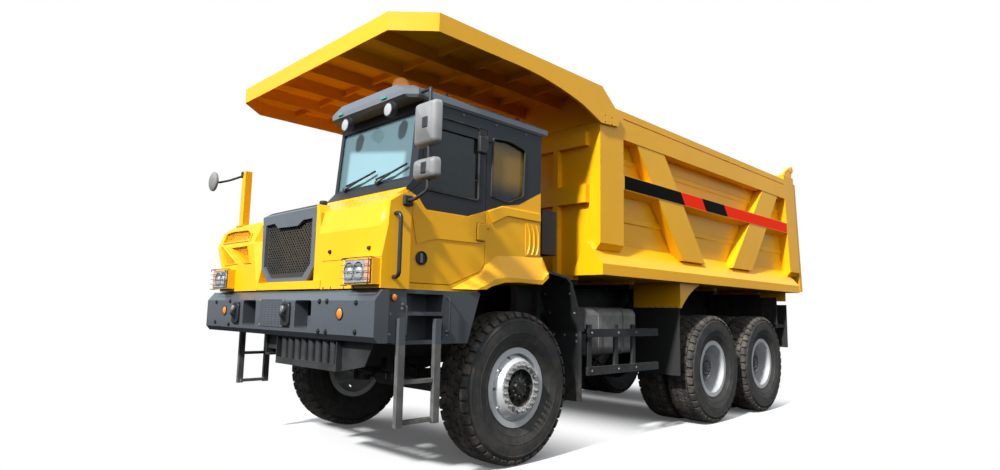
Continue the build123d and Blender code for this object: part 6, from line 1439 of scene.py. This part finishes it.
class FitBody(bpy.types.Operator):
    """Stripe along the belt, casings, and bolts of the body's brackets."""
    bl_idname = "truck.fit_body"
    bl_label = "Fit the body trim"

    def execute(self, context):
        bolt = context.scene.truck_sizes.frame_bolt * 0.5
        shape = Shape()
        for side in (-1, 1):
            ends = sorted((side * (BODY_SIDE - 0.0005), side * (BODY_SIDE + SHEET)))
            for start, end, lean_a, lean_b, finish in STRIPES:
                band = [(start, BELT_Z[1]), (end, BELT_Z[1]), (end + lean_b, BELT_Z[0]),
                        (start + lean_a, BELT_Z[0])]
                shape.prism(finish, band, "X", *ends)
            for casing in CASINGS:
                shape.prism("body yellow", casing, "X", *sorted(side * x for x in CASING_X), 0.006)
            for finish, first, following, count, y, z in BOLT_ROWS:
                for step in range(count):
                    x = side * (first + step * (following - first))
                    shape.bolt(finish, (x, y, z), "Y", -1, bolt, 0.008)
            for y, z in CHEEK_BOLTS:
                shape.bolt("body yellow", (side * CHEEK_X, y, z), "X", side, 0.016, 0.008)
        shape.done("body_trim", "dump_body")
        return {"FINISHED"}


# ---- seat: sewn cushions on a sprung base ------------------------------------------------
SEAT_LOW, SEAT_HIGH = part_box("driver_seat")
SEAT_X = (SEAT_LOW.x + SEAT_HIGH.x) / 2
BELLOWS = 11                # folds and valleys of the base
BELLOWS_PITCH = 0.032
BELLOWS_FOLD = 0.012
BELLOWS_HALF, BELLOWS_Y = 0.18, (0.08, 0.44)
PAN_HALF, PAN_Y, PAN_Z = 0.21, (0.03, 0.47), (0.324, 0.345)
PAD_VOXEL = 0.006
PAD_SWELL = 0.018           # how far a point may move while a pad fills
PAD_FRAMES = 20
PAD_PRESSURE = 4.0
# (share of the half height, inset) of a pad's sections
PAD_SECTIONS = ((-1.0, 0.016), (-0.6, 0.00576), (0.0, 0.0), (0.6, 0.00576), (1.0, 0.016))
# (name, middle y and z above the seat's foot, half size along x, y and z, lean)
PADS = (("seat_cushion", 0.255, 0.398, 0.228, 0.225, 0.044, 0.0),
        ("seat_back", 0.500, 0.700, 0.210, 0.040, 0.235, 0.185),
        ("seat_head", 0.562, 1.010, 0.130, 0.032, 0.055, 0.185))


def swollen(piece):
    """Fills a closed pad under pressure and keeps the result in its mesh."""
    rest = [vertex.co.copy() for vertex in piece.data.vertices]
    scene = bpy.context.scene
    cloth = piece.modifiers.new("fill", "CLOTH")
    cloth.settings.use_pressure = True
    cloth.settings.uniform_pressure_force = PAD_PRESSURE
    cloth.settings.effector_weights.gravity = 0.0
    for frame_number in range(1, PAD_FRAMES + 1):
        scene.frame_set(frame_number)
    graph = bpy.context.evaluated_depsgraph_get()
    moved = [vertex.co.copy() for vertex in piece.evaluated_get(graph).data.vertices]
    piece.modifiers.remove(cloth)
    scene.frame_set(1)
    for vertex, start, end in zip(piece.data.vertices, rest, moved):
        step = end - start
        if step.length > PAD_SWELL:
            step *= PAD_SWELL / step.length
        vertex.co = start + step


def seat_base():
    """Bellows base with the seat's pan."""
    base = Shape()
    y, foot = SEAT_LOW.y, SEAT_LOW.z
    rings = []
    for level in range(BELLOWS):
        gap = BELLOWS_FOLD * (level % 2)
        half = BELLOWS_HALF - gap
        outline = rounded(SEAT_X - half, SEAT_X + half, y + BELLOWS_Y[0] + gap,
                          y + BELLOWS_Y[1] - gap, 0.05)
        rings.append([(u, v, foot + 0.002 + level * BELLOWS_PITCH) for u, v in outline])
    base.loft("flap rubber", rings)
    base.block("black plastic", (SEAT_X - PAN_HALF, y + PAN_Y[0], foot + PAN_Z[0]),
               (SEAT_X + PAN_HALF, y + PAN_Y[1], foot + PAN_Z[1]), 0.006)
    base.done("seat_base", "chassis", ("driver_seat",))


def seat_pad(context, name, y, z, half_x, half_y, half_z, lean):
    """One padded piece of the seat."""
    outline = rounded(-half_x, half_x, -half_y, half_y, min(half_x, half_y) * 0.45, 5)
    turn = Matrix.Translation((SEAT_X, SEAT_LOW.y + y, SEAT_LOW.z + z)) \
        @ Matrix.Rotation(-lean, 4, "X")
    pad = Shape()
    pad.loft("seat cloth", [[tuple(turn @ Vector((u, v, half_z * share)))
                             for u, v in inset(outline, gap)] for share, gap in PAD_SECTIONS])
    piece = pad.done(name, "chassis")
    piece.data.remesh_voxel_size = PAD_VOXEL
    with context.temp_override(active_object=piece, object=piece, selected_objects=[piece]):
        bpy.ops.object.voxel_remesh()
    swollen(piece)
    piece.data.shade_smooth()
    smooth = piece.modifiers.new("soften", "SUBSURF")
    smooth.levels = smooth.render_levels = 1


class FitSeat(bpy.types.Operator):
    """Driver's seat: two padded cushions, a head pad and a bellows base."""
    bl_idname = "truck.fit_seat"
    bl_label = "Fit the seat"

    def execute(self, context):
        seat_base()
        for pad in PADS:
            seat_pad(context, *pad)
        return {"FINISHED"}


# ---- stage: camera, floor, backdrop and lights -------------------------------------------
CAMERA_AT = (5.4378, -6.8401, 1.3608)
CAMERA_RIGHT = (0.71073, 0.70322, 0.01871)
CAMERA_UP = (0.07271, -0.09989, 0.99234)
CAMERA_LENS, CAMERA_SENSOR = 22.55, 36.0    # mm
CAMERA_END = 400.0          # nothing is drawn beyond
FLOOR_HALF = 60.0
WHITE = (1.0, 1.0, 1.0)
SHADE_ALBEDO = 0.62         # of the floor as seen
BOUNCE_ALBEDO = 0.12        # of the floor as it lights the truck from below
SHADE_LIFT = 0.05
SHADOW_HALF = 1.30          # half-width of the strip of floor under the wheels
SHADOW_FADE = (0.30, 1.80)  # from a wheel: where its shadow starts to fade and where it ends
FAR = 90.0                  # farther than any point of the floor is from a wheel
# colours of the sky at its foot and high up
SKY_MIRRORED = ((0.30, 0.33, 0.36), (0.62, 0.80, 0.95))
SKY_OPEN = ((0.50, 0.53, 0.57), (0.96, 0.99, 1.05))
SUNS = (("key", (-0.20, 1.0, -0.85), 6.4, 4.0),     # (name, way, power, spread in degrees)
        ("fill", (-1.0, 0.30, -0.25), 0.25, 40.0))


def seen_directly(tree):
    """1 for rays from the camera and rays through glass."""
    seen = tree.node("ShaderNodeLightPath", output="Is Camera Ray")
    return seen.math("MAXIMUM", tree.node("ShaderNodeLightPath", output="Is Transmission Ray"))


def set_camera(scene):
    """Camera at a near corner, low and wide."""
    camera = bpy.data.objects.new("view", bpy.data.cameras.new("view"))
    right, up = Vector(CAMERA_RIGHT), Vector(CAMERA_UP)
    turn = Matrix((right, up, right.cross(up))).transposed().to_4x4()
    camera.matrix_world = Matrix.Translation(CAMERA_AT) @ turn
    camera.data.lens = CAMERA_LENS
    camera.data.sensor_width = CAMERA_SENSOR
    camera.data.clip_end = CAMERA_END
    scene.collection.objects.link(camera)
    scene.camera = camera
    scene.view_settings.view_transform = "Standard"


def floor_white():
    """White floor that shows shadows near the wheels only."""
    paint = Finish("floor white", Roughness=0.95, Specular_IOR_Level=0.0)
    seen = seen_directly(paint)
    paint.set("Base Color", paint.mix(seen, scaled(WHITE, BOUNCE_ALBEDO),
                                      scaled(WHITE, SHADE_ALBEDO)))
    lift = paint.node("ShaderNodeEmission", sockets={"Color": WHITE,
                                                     "Strength": seen * SHADE_LIFT})
    near = paint.node("ShaderNodeAddShader", sockets={
        0: Value(paint, paint.shader.outputs[0]), 1: lift})
    white = paint.node("ShaderNodeEmission", sockets={"Color": WHITE, "Strength": seen})
    beside = (paint.place("X").math("ABSOLUTE") - SHADOW_HALF).math("MAXIMUM", 0.0)
    away = FAR
    for node in ("front_tyre_left", "fore_tyres_left", "aft_tyres_left"):
        ahead = paint.place("Y") - middle(node).y
        away = (beside * beside + ahead * ahead).math("SQRT").math("MINIMUM", away)
    both = paint.node("ShaderNodeMixShader", sockets={
        0: away.step(*SHADOW_FADE), 1: near, 2: white})
    paint.join(paint.tree.nodes["Material Output"].inputs["Surface"], both)
    return paint.material


def set_sky(scene):
    """White behind the truck, pale blue where it lights or mirrors."""
    scene.world = bpy.data.worlds.new("sky")
    sky = Tree(scene.world)
    way = sky.node("ShaderNodeTexCoord", output="Generated")
    height = sky.node("ShaderNodeSeparateXYZ", sockets={0: way}, output="Z")
    glossy = sky.node("ShaderNodeLightPath", output="Is Glossy Ray")
    mirrored = sky.mix(height.step(0.0, 0.55), *SKY_MIRRORED)
    lit = sky.mix(glossy, sky.mix(height.step(-0.05, 0.75), *SKY_OPEN), mirrored)
    back = sky.tree.nodes["Background"]
    sky.join(back.inputs["Color"], sky.mix(seen_directly(sky), lit, WHITE))
    sky.join(back.inputs["Strength"], 1.0)


class SetStage(bpy.types.Operator):
    """Makes the camera, the white floor, the sky and the lights."""
    bl_idname = "truck.set_stage"
    bl_label = "Set the stage"

    def execute(self, context):
        scene = context.scene
        set_camera(scene)
        plane = bpy.data.meshes.new("floor")
        corners = [(-FLOOR_HALF, -FLOOR_HALF, 0), (FLOOR_HALF, -FLOOR_HALF, 0),
                   (FLOOR_HALF, FLOOR_HALF, 0), (-FLOOR_HALF, FLOOR_HALF, 0)]
        plane.from_pydata(corners, [], [(0, 1, 2, 3)])
        plane.materials.append(floor_white())
        floor = bpy.data.objects.new("floor", plane)
        scene.collection.objects.link(floor)
        set_sky(scene)
        for name, way, power, spread in SUNS:
            lamp = bpy.data.lights.new(name, "SUN")
            lamp.energy = power
            lamp.angle = radians(spread)
            holder = bpy.data.objects.new(name, lamp)
            holder.rotation_mode = "QUATERNION"
            holder.rotation_quaternion = Vector(way).to_track_quat("-Z", "Y")
            scene.collection.objects.link(holder)
        return {"FINISHED"}


OPERATORS = (SetStage, PaintFrame, FitTyres, FitHubs, FitLamps, FitMirrors, FitCab,
             FitWindows, FitChassis, FitBody, FitSeat)


class TruckPanel(bpy.types.Panel):
    """Lists the truck's making steps."""
    bl_idname = "VIEW3D_PT_truck"
    bl_label = "Dump truck"
    bl_space_type = "VIEW_3D"
    bl_region_type = "UI"
    bl_category = "Dump truck"

    def draw(self, context):
        for group in (context.scene.truck_paints, context.scene.truck_sizes):
            for key in group.__annotations__:
                self.layout.prop(group, key)
        for operator in OPERATORS:
            self.layout.operator(operator.bl_idname)


CLASSES = (TruckPaints, TruckSizes, *OPERATORS, TruckPanel)


def register():
    """Adds the classes and the scene's settings."""
    for made in CLASSES:
        bpy.utils.register_class(made)
    bpy.types.Scene.truck_paints = bpy.props.PointerProperty(type=TruckPaints)
    bpy.types.Scene.truck_sizes = bpy.props.PointerProperty(type=TruckSizes)


def unregister():
    """Removes the classes and the scene's settings."""
    del bpy.types.Scene.truck_sizes
    del bpy.types.Scene.truck_paints
    for made in reversed(CLASSES):
        bpy.utils.unregister_class(made)


def main():
    """Makes the whole dressed truck."""
    register()
    for operator in OPERATORS:
        group, name = operator.bl_idname.split(".")
        getattr(getattr(bpy.ops, group), name)()


if __name__ == "__main__":
    main()
